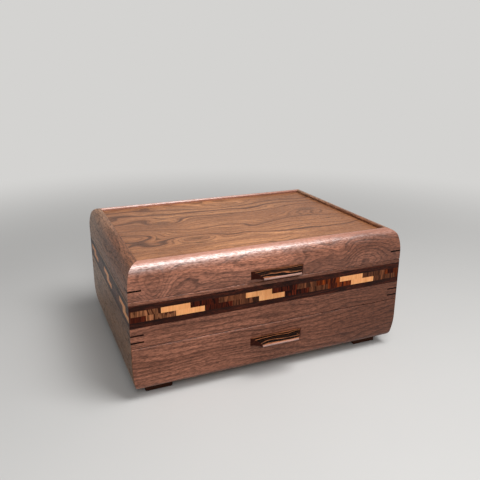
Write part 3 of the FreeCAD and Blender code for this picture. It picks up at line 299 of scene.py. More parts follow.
def span(value, low, high, start=0.0, end=1.0, smooth=False):
    """A value rescaled from one range to another, and held inside it."""
    return step("ShaderNodeMapRange", {
        "Value": value, "From Min": low, "From Max": high, "To Min": start, "To Max": end},
        interpolation_type="SMOOTHSTEP" if smooth else "LINEAR")[0]


def mix(factor, first, second, kind="RGBA"):
    """Two colours or vectors mixed by a factor."""
    one, two, made = MIX_SOCKETS[kind]
    return step("ShaderNodeMix", {0: factor, one: first, two: second}, data_type=kind)[made]


def clouds(vector, detail=2.0, roughness=0.5, distortion=0.0, seed=None, scale=1.0):
    """Noise between 0 and 1 over a vector, with a seed where one is given."""
    own = {} if seed is None else {"W": seed}
    return step("ShaderNodeTexNoise", {
        "Vector": vector, "Scale": scale, "Detail": detail, "Roughness": roughness,
        "Distortion": distortion, **own}, noise_dimensions="4D" if own else "3D")["Fac"]


def new_group(name, inputs, kind="ShaderNodeTree"):
    """What a new node group is given. Each input has a value, or else the name of its socket's type."""
    tree = bpy.data.node_groups.new(name, kind)
    for label, value in inputs.items():
        valued = not isinstance(value, str)
        made = tree.interface.new_socket(name=label, in_out="INPUT", socket_type="NodeSocket" + (
            SOCKETS[type(value)] if valued else value))
        if valued:
            made.default_value = value
    return tree.nodes.new("NodeGroupInput").outputs


def give(kind="Float", **values):
    """End a node group with its outputs, all of one type."""
    tree = next(iter(values.values())).id_data
    for label in values:
        tree.interface.new_socket(name=label, in_out="OUTPUT", socket_type="NodeSocket" + kind)
    out = tree.nodes.new("NodeGroupOutput").inputs
    for label, value in values.items():
        feed(value, out[label])
    return tree


def place(maker, inputs):
    """Put a shader group into a material and feed it. The group is built the first time."""
    if maker not in GROUPS:
        GROUPS[maker] = maker()
    return step("ShaderNodeGroup", inputs, node_tree=GROUPS[maker])


def seen_rays(tree):
    """1 for the rays that show the backdrop: the camera's own, and those mirrored or let through."""
    path = add(tree, "ShaderNodeLightPath").outputs
    mirrored = sums("MAXIMUM", path["Is Glossy Ray"], path["Is Transmission Ray"])
    return sums("MAXIMUM", path["Is Camera Ray"], mirrored)


def board_grain():
    """Growth rings, pigment bands, fibres and pores of wood whose grain runs along X."""
    given = new_group("Board Grain", {
        "Vector": "Vector", "Pith": (0, 0.09, 0.1), "Ring Spacing": 0.004, "Figure Size": (0.1, 0.035, 0.035),
        "Figure": 8.0, "Swirl": 0.0, "Band Width": 3.0, "Fibre Width": 0.0011, "Pore Width": 0.00032,
        "Pore Length": 0.006, "Seed": 0.0})
    spot, seed = given["Vector"], given["Seed"]

    def noise_at(density, detail, roughness, distortion=0.0):
        """Noise with so many grains to a metre along each axis."""
        return clouds(vectors("MULTIPLY", spot, density), detail, roughness, distortion, seed)

    from_pith = vectors("MULTIPLY", vectors("SUBTRACT", spot, given["Pith"]), (0, 1, 1))
    growth = sums("DIVIDE", vectors("LENGTH", from_pith), given["Ring Spacing"])
    slow = clouds(vectors("DIVIDE", spot, given["Figure Size"]), 1.6, 0.42, 0.35, seed)
    growth = sums("ADD", growth, times(slow, given["Figure"]))
    growth = sums("ADD", growth, given["Swirl"])
    growth = sums("MULTIPLY_ADD", noise_at(WAVER, 2.0, 0.5), 0.55, growth)
    banded = sums("DIVIDE", growth, given["Band Width"])
    bands = step("ShaderNodeTexNoise", {"W": banded, "Scale": 1.0, "Detail": 2.5, "Roughness": 0.62},
                 noise_dimensions="1D")["Fac"]
    phase = sums("FRACT", growth)
    line = times(span(phase, 0.5, 0.88, smooth=True), span(phase, 0.9, 1.0, 1.0, 0.0, smooth=True))
    rings = times(line, span(noise_at(BREAKS, 2.0, 0.5), 0.32, 0.68, 0.15, 1.0))
    across = sums("DIVIDE", 1.0, given["Fibre Width"])
    fibres = noise_at(combine(times(across, 0.045), across, across), 3.0, 0.6)
    narrow = sums("DIVIDE", 1.0, given["Pore Width"])
    lengthways = sums("DIVIDE", 1.0, given["Pore Length"])
    specks = noise_at(combine(lengthways, narrow, narrow), 1.0, 0.5)
    pores = span(sums("MULTIPLY_ADD", line, 0.05, specks), 0.61, 0.7, smooth=True)
    flecks = noise_at(FLECKS, 2.0, 0.6)
    raised = sums("ADD", times(fibres, 0.35), flecks)
    return give(
        Bands=bands, Rings=rings, Fibres=fibres, Flecks=flecks, Pores=pores,
        Tone=noise_at(SLOW_TONE, 3.0, 0.55, 0.3), Height=sums("SUBTRACT", raised, pores))


def growth_swirl():
    """Extra growth rings that close round one place, as round a knot or a crotch."""
    given = new_group("Growth Swirl", {
        "Vector": "Vector", "Centre": (0, 0, 0), "Size": (0.03, 0.02, 0.02), "Rings": 5.0})
    away = vectors("DIVIDE", vectors("SUBTRACT", given["Vector"], given["Centre"]), given["Size"])
    near = sums("EXPONENT", times(vectors("DOT_PRODUCT", away, away), -1.0))
    return give(Swirl=times(near, given["Rings"]), Heart=near)


def round_the_box():
    """Unrolls the four faces: X runs along each face, Y into the wood and Z up."""
    given = new_group("Round the Box", {"Vector": "Vector"})
    facing = separate(add(given["Vector"].id_data, "ShaderNodeTexCoord").outputs["Normal"])
    sideways = sums("GREATER_THAN", sums("ABSOLUTE", facing[0]), 0.7)
    x, y, z = separate(given["Vector"])
    return give("Vector", Vector=mix(sideways, given["Vector"], combine(y, x, z), "VECTOR"))


def soft_nap():
    """Brushed nap of felt and suede: fine hairs, and patches that lean one way or the other."""
    given = new_group("Soft Nap", {
        "Vector": "Vector", "Hair Width": 0.0004, "Patch Size": 0.03, "Seed": 0.0})
    hair, patch = (
        clouds(scaled(given["Vector"], sums("DIVIDE", 1.0, given[size])), 3.0, roughness, distortion,
               given["Seed"])
        for size, roughness, distortion in (("Hair Width", 0.7, 1.5), ("Patch Size", 0.55, 0.6)))
    return give(Hair=hair, Patch=patch, Height=sums("MULTIPLY_ADD", patch, 0.4, hair))


def worn_metal():
    """Fine scratches and a slight bloom on small turned and rolled metal parts."""
    given = new_group("Worn Metal", {"Vector": "Vector", "Scratch Length": 0.02, "Bloom Size": 0.006})
    along = combine(sums("DIVIDE", 1.0, given["Scratch Length"]), SCRATCHES, SCRATCHES)
    bloom = scaled(given["Vector"], sums("DIVIDE", 1.0, given["Bloom Size"]))
    scratches = clouds(vectors("MULTIPLY", given["Vector"], along))
    return give(Scratches=scratches, Bloom=clouds(bloom, 4.0, 0.6))


# ---------------------------------------------------------------- materials


def blank_material(name):
    """A material with only an output and a Principled BSDF, and its tree."""
    material = bpy.data.materials.new(name)
    material.use_nodes = True
    tree = material.node_tree
    tree.nodes.clear()
    shader = tree.nodes.new("ShaderNodeBsdfPrincipled")
    step("ShaderNodeOutputMaterial", {"Surface": shader.outputs[0]})
    return material, tree, shader


def set_shader(shader, shade, roughness, **levels):
    """Feed a shader's colour and roughness, and set its other levels by their names."""
    feed(shade, shader.inputs["Base Color"])
    feed(roughness, shader.inputs["Roughness"])
    for name, value in levels.items():
        shader.inputs[name.replace("_", " ")].default_value = value


def place_of(tree, turn=(0, 0, 0), unrolled=False):
    """Object coordinates, turned so that the grain runs along X."""
    spot = add(tree, "ShaderNodeTexCoord").outputs["Object"]
    if unrolled:
        spot = place(round_the_box, {"Vector": spot})["Vector"]
    return step("ShaderNodeMapping", {"Vector": spot, "Rotation": turn})[0]


def bumped(shader, height, distance, strength=1.0):
    """Normal from a height that changes over the surface."""
    bump = step("ShaderNodeBump", {"Height": height, "Strength": strength, "Distance": distance})
    feed(bump[0], shader.inputs["Normal"])


def shoulder_gloss_and_highlight(shader, shade, along, flecks, rim):
    """Gloss on a lid's shoulder, broken up by its grain, and the shade with a painted highlight in a paler
    colour under the rim.
    """
    gloss = times(
        span(along[2], SHOULDER_FOOT, SHOULDER_FOOT + SHOULDER_RISE, smooth=True),
        span(along[2], rim - RIM_WORN, rim, 1.0, 0.6), span(flecks, 0.4, 0.58, 0.3, 1.0),
        span(along[0], 0.0, GLOSS_AND_HIGHLIGHT_FADE_TO, 0.95, 0.3))
    feed(gloss, shader.inputs["Coat Weight"])
    shader.inputs["Coat Roughness"].default_value = COAT_ROUGHNESS
    shader.inputs["Coat IOR"].default_value = COAT_IOR
    # Painted highlight: a paler colour just under the rim, weaker to the right.
    pale = times(span(along[2], rim - SHOULDER_RISE, rim - RIM_EDGE),
                 span(along[0], 0.0, GLOSS_AND_HIGHLIGHT_FADE_TO, 0.6, 0.35))
    return mix(pale, shade, paint(RIM_PAINTED_HIGHLIGHT))


def wood(name, light, dark, ring, turn=(0, 0, 0), unrolled=False, swirls=(), grain=None, band_low=0.38,
         band_high=0.62, ring_share=0.6, fibre_share=0.35, fleck_share=0.0, pore_share=0.55, tone_share=0.4,
         streak_share=0.0, fades=(), rim=None, roughness=0.36, gloss=0.22, block_share=0.0):
    """A finished wood. Colours run from light to dark by bands, with rings, fibres and pores over them.

    A swirl has a centre, a size, a number of rings, and how dark its knot is. A fade has the axis that it
    runs along, where it starts and ends, its share and, where that isn't the dark colour, its tint. rim is
    the height of a lid's rim, above a shoulder with more gloss and a painted highlight. block_share is how
    far the blocks of a band differ in tone."""
    material, tree, shader = blank_material(name)
    spot = place_of(tree, turn, unrolled)
    along = separate(spot)
    settings = {"Vector": spot, "Swirl": 0.0, **(grain or {})}
    knots = []
    for centre, size, rings, knot in swirls:
        found = place(growth_swirl, {"Vector": spot, "Centre": centre, "Size": size, "Rings": rings})
        settings["Swirl"] = sums("ADD", settings["Swirl"], found["Swirl"])
        knots.append((span(found["Heart"], 0.65, 1.0, 0.0, knot, smooth=True), ring))
    if block_share:
        block = add(tree, "ShaderNodeAttribute", attribute_name="block_tone").outputs["Fac"]
        settings["Seed"] = times(block, BLOCK_SEEDS)
    made = place(board_grain, settings)
    shade = mix(span(made["Bands"], band_low, band_high), dark, light)
    for factor, tint in (
            (span(made["Tone"], 0.3, 0.7, tone_share, 0.0), dark),
            *((span(along[axis], start, end, 0.0, most), *(tint or [dark]))
              for axis, start, end, most, *tint in fades),
            (span(made["Fibres"], 0.35, 0.65, fibre_share, 0.0), ring),
            (span(made["Flecks"], 0.36, 0.6, fleck_share, 0.0), ring),
            (times(made["Rings"], ring_share), ring),
            (span(made["Bands"], 0.42, 0.3, 0.0, streak_share, smooth=True), ring),
            *knots,
            (times(made["Pores"], pore_share), ring)):
        shade = mix(factor, shade, tint)
    if block_share:
        shade = scaled(shade, span(block, 0.0, 1.0, 1.0 - block_share, 1.0 + block_share))
    if rim:
        shade = shoulder_gloss_and_highlight(shader, shade, along, made["Flecks"], rim)
    dull = sums("MULTIPLY_ADD", made["Fibres"], 0.12, roughness - 0.06)
    dull = sums("MULTIPLY_ADD", made["Pores"], 0.25, dull)
    set_shader(shader, shade, dull, Specular_IOR_Level=gloss)
    bumped(shader, made["Height"], GRAIN_DEPTH)
    return material


def nap_material(name, shade, hair_width, patch_size, patch_share, bump, sheen):
    """Felt or suede."""
    material, tree, shader = blank_material(name)
    made = place(soft_nap, {"Vector": place_of(tree), "Hair Width": hair_width, "Patch Size": patch_size})
    pale = tuple(min(1, c * 1.5 + 0.01) for c in shade)
    tone = mix(span(made["Hair"], 0.3, 0.7), toned(shade, 0.55), pale)
    tone = mix(span(made["Patch"], 0.35, 0.65, 0.0, patch_share), tone, pale)
    set_shader(shader, tone, span(made["Hair"], 0.2, 0.8, 0.98, 0.86),
               Specular_IOR_Level=0.15, Sheen_Weight=sheen, Sheen_Roughness=0.45)
    bumped(shader, made["Height"], bump)
    return material


def metal_material(name, shade, roughness):
    """Brass or steel with scratches and bloom."""
    material, tree, shader = blank_material(name)
    made = place(worn_metal, {"Vector": place_of(tree)})
    tone = mix(span(made["Bloom"], 0.42, 0.7, 0.0, 0.75), shade, toned(shade, 0.62))
    gloss = sums("MULTIPLY_ADD", made["Scratches"], 0.16, roughness - 0.08)
    gloss = sums("MULTIPLY_ADD", made["Bloom"], 0.18, gloss)
    set_shader(shader, tone, gloss, Metallic=1.0)
    bumped(shader, made["Scratches"], 0.00001, 0.6)
    return material


def dress(material, *names):
    """Give a material to CAD nodes by their names."""
    for name in names:
        for slot in NODES[name].material_slots:
            slot.material = material


# ---------------------------------------------------------------- meshes


def linked(name, data):
    """A new object in the scene."""
    thing = bpy.data.objects.new(name, data)
    bpy.context.scene.collection.objects.link(thing)
    return thing


def applied(thing):
    """The plain mesh that an object's modifiers make."""
    graph = bpy.context.evaluated_depsgraph_get()
    return bpy.data.meshes.new_from_object(thing.evaluated_get(graph), depsgraph=graph)


def finished(mesh, name):
    """A plain mesh from an edited one, with its normals outward."""
    bmesh.ops.recalc_face_normals(mesh, faces=mesh.faces)
    data = bpy.data.meshes.new(name)
    mesh.to_mesh(data)
    mesh.free()
    return data


def piece_from(name, mesh, body, node):
    """A finished mesh as a piece of the object that stands for a CAD node."""
    piece = linked(name, mesh)
    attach(piece, body)
    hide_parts(node)
    return piece


def slab(name, low, high, step, material, top_of, bottom_of, inset_of=lambda u, v: (0.0, 0.0)):
    """A closed sheet or pad between two corners; the height of each face is a function of the place on it."""
    across = max(2, round((high.x - low.x) / step))
    deep = max(2, round((high.y - low.y) / step))
    mesh = bmesh.new()
    faces = {}
    for level, height_of in (("top", top_of), ("bottom", bottom_of)):
        for i in range(across + 1):
            for j in range(deep + 1):
                u, v = i / across, j / deep
                pull_x, pull_y = inset_of(u, v)
                x = low.x + (high.x - low.x) * u + pull_x
                y = low.y + (high.y - low.y) * v + pull_y
                faces[level, i, j] = mesh.verts.new((x, y, height_of(x, y)))
    for i in range(across):
        for j in range(deep):
            ring = [(i, j), (i + 1, j), (i + 1, j + 1), (i, j + 1)]
            mesh.faces.new([faces["top", a, b] for a, b in ring])
            mesh.faces.new([faces["bottom", a, b] for a, b in reversed(ring)])
    rim = [(i, 0) for i in range(across)] + [(across, j) for j in range(deep)]
    rim += [(i, deep) for i in range(across, 0, -1)] + [(0, j) for j in range(deep, 0, -1)]
    for one, two in zip(rim, rim[1:] + rim[:1]):
        mesh.faces.new([faces["bottom", *one], faces["bottom", *two], faces["top", *two], faces["top", *one]])
    data = finished(mesh, name)
    data.shade_smooth()
    data.materials.append(material)
    return data


def edge_distance(x, y, low, high):
    """How far a place on a rectangle is from its nearest edge."""
    return min(x - low.x, high.x - x, y - low.y, high.y - y)


def painted(geometry, material):
    """The plain geometry that a tree ends with, in its material."""
    real = step("GeometryNodeRealizeInstances", {"Geometry": geometry})[0]
    return step("GeometryNodeSetMaterial", {"Geometry": real, "Material": material})[0]


def block_tones():
    """Geometry tree that gives every separate block of a band its own tone."""
    given = new_group("Block Tones", {
        "Geometry": "Geometry", "Joint Gap": 0.00001, "Tone Seed": 1, "Material": "Material"},
        "GeometryNodeTree")
    blocks = {"Geometry": given["Geometry"], "Distance": given["Joint Gap"]}
    welded = step("GeometryNodeMergeByDistance", blocks)[0]
    island = add(welded.id_data, "GeometryNodeInputMeshIsland").outputs["Island Index"]
    tone = step("FunctionNodeRandomValue", {"ID": island, "Seed": given["Tone Seed"]}, data_type="FLOAT")[1]
    named = step("GeometryNodeStoreNamedAttribute", {
        "Geometry": welded, "Name": "block_tone", "Value": tone}, data_type="FLOAT", domain="POINT")[0]
    flat = step("GeometryNodeSetShadeSmooth", {"Geometry": named, "Shade Smooth": False})[0]
    return give("Geometry", Geometry=painted(flat, given["Material"]))


def screws_on_points():
    """Geometry tree that sets one screw on each point, turned to its own direction and slot angle."""
    given = new_group("Screws on Points", {
        "Geometry": "Geometry", "Screw": "Object", "Head Way": (0, 0, 1), "Turn Seed": 7,
        "Material": "Material"}, "GeometryNodeTree")
    screw = step("GeometryNodeObjectInfo", {"Object": given["Screw"], "As Instance": True})["Geometry"]
    aimed = step("FunctionNodeAlignRotationToVector", {"Vector": given["Head Way"]}, axis="Z")[0]
    turn = step("FunctionNodeRandomValue", {3: math.tau, "Seed": given["Turn Seed"]}, data_type="FLOAT")[1]
    own = step("FunctionNodeEulerToRotation", {0: combine(0.0, 0.0, turn)})[0]
    both = step("FunctionNodeRotateRotation", {0: aimed, 1: own}, rotation_space="LOCAL")[0]
    points = step("GeometryNodeInstanceOnPoints", {
        "Points": given["Geometry"], "Instance": screw, "Rotation": both})[0]
    return give("Geometry", Geometry=painted(points, given["Material"]))


def run_tree(tree, mesh, inputs):
    """Run a geometry tree over a mesh and return the plain mesh that comes out."""
    holder = linked("holder", mesh)
    modifier = holder.modifiers.new("tree", "NODES")
    modifier.node_group = tree
    names = {item.name: item.identifier for item in tree.interface.items_tree if item.in_out == "INPUT"}
    for name, value in inputs.items():
        modifier[names[name]] = value
    made = applied(holder)
    holder.modifiers.remove(modifier)
    bpy.data.objects.remove(holder)
    return made


def slotted_screw(name, head, shank, reach, slot_width, slot_depth):
    """A countersunk screw that points along -Z, its slotted head flush with Z = 0."""
    mesh = bmesh.new()
    outline = [(head, 0.0), (head, -HEAD_EDGE), (shank, shank - head), (shank, -reach * TAPER_FROM),
               (TIP_RADIUS, -reach)]
    turns = [math.tau * n / SCREW_SIDES for n in range(SCREW_SIDES)]
    loops = [[mesh.verts.new((radius * math.cos(turn), radius * math.sin(turn), z)) for turn in turns]
             for radius, z in outline]
    for upper, under in zip(loops, loops[1:]):
        for n in range(SCREW_SIDES):
            after = (n + 1) % SCREW_SIDES
            mesh.faces.new([upper[n], under[n], under[after], upper[after]])
    mesh.faces.new(loops[0])
    mesh.faces.new(loops[-1])
    screw = linked(name, finished(mesh, name))
    mesh = bmesh.new()
    bmesh.ops.create_cube(mesh, size=1.0)
    bmesh.ops.scale(mesh, verts=mesh.verts, vec=(head * 3, head * slot_width, head * slot_depth * 2))
    cutter = linked(name + "_slot", finished(mesh, name + "_slot"))
    cut = screw.modifiers.new("slot", "BOOLEAN")
    cut.object = cutter
    cut.solver = "EXACT"
    made = applied(screw)
    bpy.data.objects.remove(cutter)
    bpy.data.objects.remove(screw)
    return bpy.data.objects.new(name, made)


def islands(name):
    """Lowest and highest corner of every separate solid of a CAD node, in the same order every time."""
    mesh = bmesh.new()
    mesh.from_mesh(NODES[name].data)
    bmesh.ops.remove_doubles(mesh, verts=mesh.verts, dist=0.000001)
    left, found = dict.fromkeys(mesh.verts), []
    while left:
        solid = [left.popitem()[0]]
        for vertex in solid:
            for edge in vertex.link_edges:
                for near in edge.verts:
                    if near in left:
                        del left[near]
                        solid.append(near)
        found.append([Vector([pick(v.co[k] for v in solid) for k in range(3)]) for pick in (min, max)])
    mesh.free()
    return found


# ---------------------------------------------------------------- operators


class CUFFLINK_OT_walls(bpy.types.Operator):
    """Walnut for the walls, the lid frame, the drawer front and the feet"""

    bl_idname = "cufflink_box.walls"
    bl_label = "Dress Walnut Walls"

    def execute(self, context):
        woods = context.scene.cufflink_woods
        colours = (woods.walnut_light, woods.walnut_dark, woods.walnut_ring)
        grain = {
            "Pith": (0, 0.03, 0.02), "Ring Spacing": woods.ring_spacing, "Figure Size": (0.1, 0.05, 0.036),
            "Figure": 8.0, "Band Width": 4.0, "Fibre Width": 0.0016, "Pore Width": 0.0006, "Seed": 5.2}
        looks = dict(
            roughness=woods.finish_roughness, gloss=woods.gloss * 0.4, band_low=0.2, band_high=0.75,
            ring_share=0.75, fibre_share=0.4, fleck_share=0.6, tone_share=0.6)
        front = wood(
            "walnut_case_front", *(toned(shade, CASE_LIFT) for shade in colours), **looks, grain={
                **grain, "Pith": (0, -0.07, 0.01), "Figure Size": (0.13, 0.05, 0.03), "Figure": 7.0,
                "Seed": 9.4},
            fades=[(0, -0.09, 0.13, 0.95), (0, 0.03, 0.16, 0.15, paint(FRONT_SHADE))])
        dress(front, "case_front_rail", "case_back", "drawer_front")
        looks.update(gloss=woods.gloss * 0.7, ring_share=0.72)
        lid = wood(
            "walnut_lid_front", *(toned(shade, LID_LIFT) for shade in colours), **looks,
            grain={**grain, "Figure": 10.0, "Seed": 6.3}, rim=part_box("lid_front_rail")[1].z,
            # The second fade is painted shade, darker towards the bottom of the lid's front.
            fades=[(0, 0.03, 0.15, 0.65), (2, 0.128, 0.104, 0.5)], swirls=[
                ((-0.139, -0.12, 0.119), (0.016, 0.06, 0.019), 6.0, 0),
                ((0.116, -0.115, 0.124), (0.026, 0.06, 0.02), -3.0, 0),
                ((0.085, -0.115, 0.122), (0.014, 0.06, 0.02), 1.5, 0)])
        dress(lid, "lid_front_rail", "lid_back_rail")
        # Painted sheen: the sides grow paler towards the back.
        looks.update(gloss=0.06, ring_share=0.5, fades=[(0, 0.03, -0.1, 0.6, paint(SIDE_PAINTED_SHEEN))])
        for part, board in (("case", "side"), ("lid", "rail")):
            side = wood(
                "walnut_%s_sides" % part, *tones(part + "_sides"), woods.walnut_ring, turn=ALONG_Y, **looks,
                grain={**grain, "Pith": (0, 0.1, 0.02), "Seed": 8.4})
            dress(side, *("%s_%s_%s" % (part, hand, board) for hand in HANDS))
        # Feet in painted shade: their colours are darkened for the shadow under the box.
        dress(wood("walnut_feet", *tones("feet"), woods.walnut_ring, grain=grain, gloss=0.08),
              *("foot_%s_%s" % (end, hand) for end in ("front", "back") for hand in HANDS))
        return {"FINISHED"}


class CUFFLINK_OT_lid_panel(bpy.types.Operator):
    """Figured walnut for the panel in the lid"""

    bl_idname = "cufflink_box.lid_panel"
    bl_label = "Dress Lid Panel"

    def execute(self, context):
        woods = context.scene.cufflink_woods
        panel = wood(
            "figured_walnut_panel", woods.panel_light, woods.panel_middle, woods.panel_streak, grain={
                "Pith": (0, 0.189, 0.15), "Ring Spacing": 0.0062, "Figure Size": (0.085, 0.042, 0.3),
                "Figure": 10.0, "Band Width": 1.7, "Fibre Width": 0.0016, "Seed": 5.7},
            band_low=0.3, band_high=0.6, ring_share=0.62, fibre_share=0.28, fleck_share=0.3, pore_share=0.5,
            tone_share=0.8, streak_share=0.5, roughness=woods.finish_roughness + 0.08,
            gloss=woods.gloss * 0.35, fades=[(0, 0.03, 0.14, 0.75), (0, -0.06, -0.15, 0.6)], swirls=[
                ((-0.165, -0.015, 0.15), (0.085, 0.024, 1), 6.0, 0),
                ((-0.089, 0.027, 0.15), (0.024, 0.013, 1), -5.5, 0.4),
                ((-0.069, -0.047, 0.15), (0.032, 0.013, 1), 6.0, 0.2),
                ((0.026, 0.08, 0.15), (0.04, 0.02, 1), -4.5, 0.2),
                ((0.112, 0.02, 0.15), (0.034, 0.018, 1), 4.5, 0.4)])
        dress(panel, "lid_panel")
        return {"FINISHED"}


class CUFFLINK_OT_keys(bpy.types.Operator):
    """Dark wood for the keys across the mitres, the strips and the corner posts"""

    bl_idname = "cufflink_box.keys"
    bl_label = "Dress Keys and Strips"

    def execute(self, context):
        woods = context.scene.cufflink_woods
        ring = woods.strip_ring
        strip = wood(
            "dark_strip_wood", woods.strip, toned(woods.strip, 0.3), ring, unrolled=True, gloss=0.1,
            ring_share=0.75, fibre_share=0.6, fleck_share=0.6, grain={
                "Pith": (0, 0.2, 0.02), "Ring Spacing": 0.0022, "Figure Size": (0.04, 0.02, 0.01),
                "Figure": 4.0, "Band Width": 0.8, "Fibre Width": 0.0009, "Seed": 2.2})
        dress(strip, "band_upper_strips", "band_lower_strips")
        key = wood(
            "dark_key_wood", toned(woods.strip, 0.15), ring, ring, unrolled=True, gloss=0.06,
            grain={"Ring Spacing": 0.002, "Fibre Width": 0.0008})
        dress(key, "case_splines", "lid_splines")
        post = wood(
            "dark_post_wood", woods.strip, toned(woods.strip, 0.4), ring, turn=UPRIGHT, gloss=0.1,
            fibre_share=0.6, grain={"Ring Spacing": 0.0016, "Fibre Width": 0.0006})
        dress(post, "band_corner_posts")
        return {"FINISHED"}


class CUFFLINK_OT_banding(bpy.types.Operator):
    """Stepped blocks of the banding, each with its own tone and upright grain"""

    bl_idname = "cufflink_box.banding"
    bl_label = "Make Stepped Banding"

    def execute(self, context):
        woods = context.scene.cufflink_woods
        looks = dict(turn=UPRIGHT, roughness=woods.finish_roughness, gloss=0.06, grain={
            "Ring Spacing": 0.0032, "Figure Size": (0.05, 0.01, 0.01), "Figure": 4.0, "Band Width": 0.9,
            "Fibre Width": 0.0012})
        maple = (woods.maple_light, woods.maple_dark, paint(MAPLE_RING))
        tree = block_tones()
        for kind, seed, rings, fibres, blocks, more in (
                ("maple", 5, 0.15, 0.35, 0.05, {"pore_share": 0.1}),
                ("rosewood", 15, 0.5, 0.75, 0.25, {}),
                ("walnut", 6, 0.5, 0.7, 0.2, {}),
                ("zebrano", 7, 0.8, 0.8, 0.12, {"band_low": 0.44, "band_high": 0.54}),
                ("cocobolo", 8, 0.6, 0.85, 0.25, {})):
            node = "band_%s_blocks" % kind
            colours = maple if kind == "maple" else tones(kind)
            material = wood(
                "banding_" + kind, *colours, ring_share=rings, fibre_share=fibres, block_share=blocks,
                **looks, **more)
            mesh = run_tree(tree, NODES[node].data.copy(), {"Tone Seed": seed, "Material": material})
            piece_from("stepped_%s_blocks" % kind, mesh, "case", node)
        return {"FINISHED"}


class CUFFLINK_OT_handles(bpy.types.Operator):
    """Near-black streaked wood for the two handles"""

    bl_idname = "cufflink_box.handles"
    bl_label = "Dress Handles"

    def execute(self, context):
        woods = context.scene.cufflink_woods
        for part, seed in (("lid", 4.0), ("drawer", 5.5)):
            low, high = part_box(part + "_handle")
            material = wood(
                part + "_handle_wood", woods.handle_streak, woods.handle_black, woods.handle_black,
                band_low=0.545, band_high=0.605, ring_share=0.35, fibre_share=0.4, tone_share=0.5, gloss=0.03,
                grain={"Pith": (0, -0.06, high.z + 0.02), "Ring Spacing": 0.0017, "Band Width": 1.4,
                       "Figure Size": (0.035, 0.012, 0.012), "Figure": 6.5, "Fibre Width": 0.0006,
                       "Seed": seed})
            self.finish_edges(material, low, high, woods)
            dress(material, part + "_handle")
        return {"FINISHED"}

    def finish_edges(self, material, low, high, woods):
        """Dark end grain on the slanted ends, and a painted highlight in a paler colour on the lip."""
        tree = material.node_tree
        shader = tree.nodes["Principled BSDF"]
        shade = shader.inputs["Base Color"].links[0].from_socket
        away = separate(add(tree, "ShaderNodeTexCoord").outputs["Object"])
        inward = sums("MULTIPLY_ADD", away[1], -HANDLE_SLANT, HANDLE_SLANT * high.y - high.x)
        inward = sums("ADD", sums("ABSOLUTE", away[0]), inward)
        shade = mix(span(inward, *END_EDGE, 0.0, 0.9, smooth=True), shade, woods.handle_end)
        painted_lip_highlight = span(away[1], low.y + LIP_HIGHLIGHT_EDGE[0], low.y + LIP_HIGHLIGHT_EDGE[1], 0.55, 0.0, smooth=True)
        feed(mix(painted_lip_highlight, shade, woods.handle_lip_highlight), shader.inputs["Base Color"])


class CUFFLINK_OT_drawer_box(bpy.types.Operator):
    """Maple drawer box and birch panels"""

    bl_idname = "cufflink_box.drawer_box"
    bl_label = "Dress Drawer Box"

    def execute(self, context):
        maple = tones("drawer_maple")
        looks = dict(ring_share=0.28, fibre_share=0.25, pore_share=0.12, tone_share=0.25, grain={
            "Ring Spacing": 0.006, "Figure Size": (0.12, 0.03, 0.03), "Figure": 7.0, "Pore Width": 0.0002,
            "Seed": 6.5})
        dress(wood("drawer_maple_across", *maple, **looks), "drawer_box_front", "drawer_back")
        dress(wood("drawer_maple_along", *maple, turn=ALONG_Y, **looks),
              "drawer_left_side", "drawer_right_side")
        dress(wood("birch_panels", *tones("birch"), **looks),
              "drawer_bottom", "case_bottom", "compartment_floor")
        return {"FINISHED"}


class CUFFLINK_OT_dividers(bpy.types.Operator):
    """Walnut for the dividers of the compartments and of the drawer"""

    bl_idname = "cufflink_box.dividers"
    bl_label = "Dress Dividers"

    def execute(self, context):
        woods = context.scene.cufflink_woods
        colours = (paint(DIVIDER_LIGHT), woods.walnut_dark, woods.walnut_ring)
        looks = dict(ring_share=0.4, grain={
            "Ring Spacing": 0.003, "Figure Size": (0.08, 0.02, 0.02), "Figure": 6.0, "Seed": 1.4})
        dress(wood("divider_walnut_across", *colours, **looks),
              *("long_divider_%d" % n for n in range(1, 4)), "drawer_long_divider")
        dress(wood("divider_walnut_along", *colours, turn=ALONG_Y, **looks),
              *("cross_divider_%d" % n for n in range(1, 6)), "drawer_cross_divider")
        return {"FINISHED"}


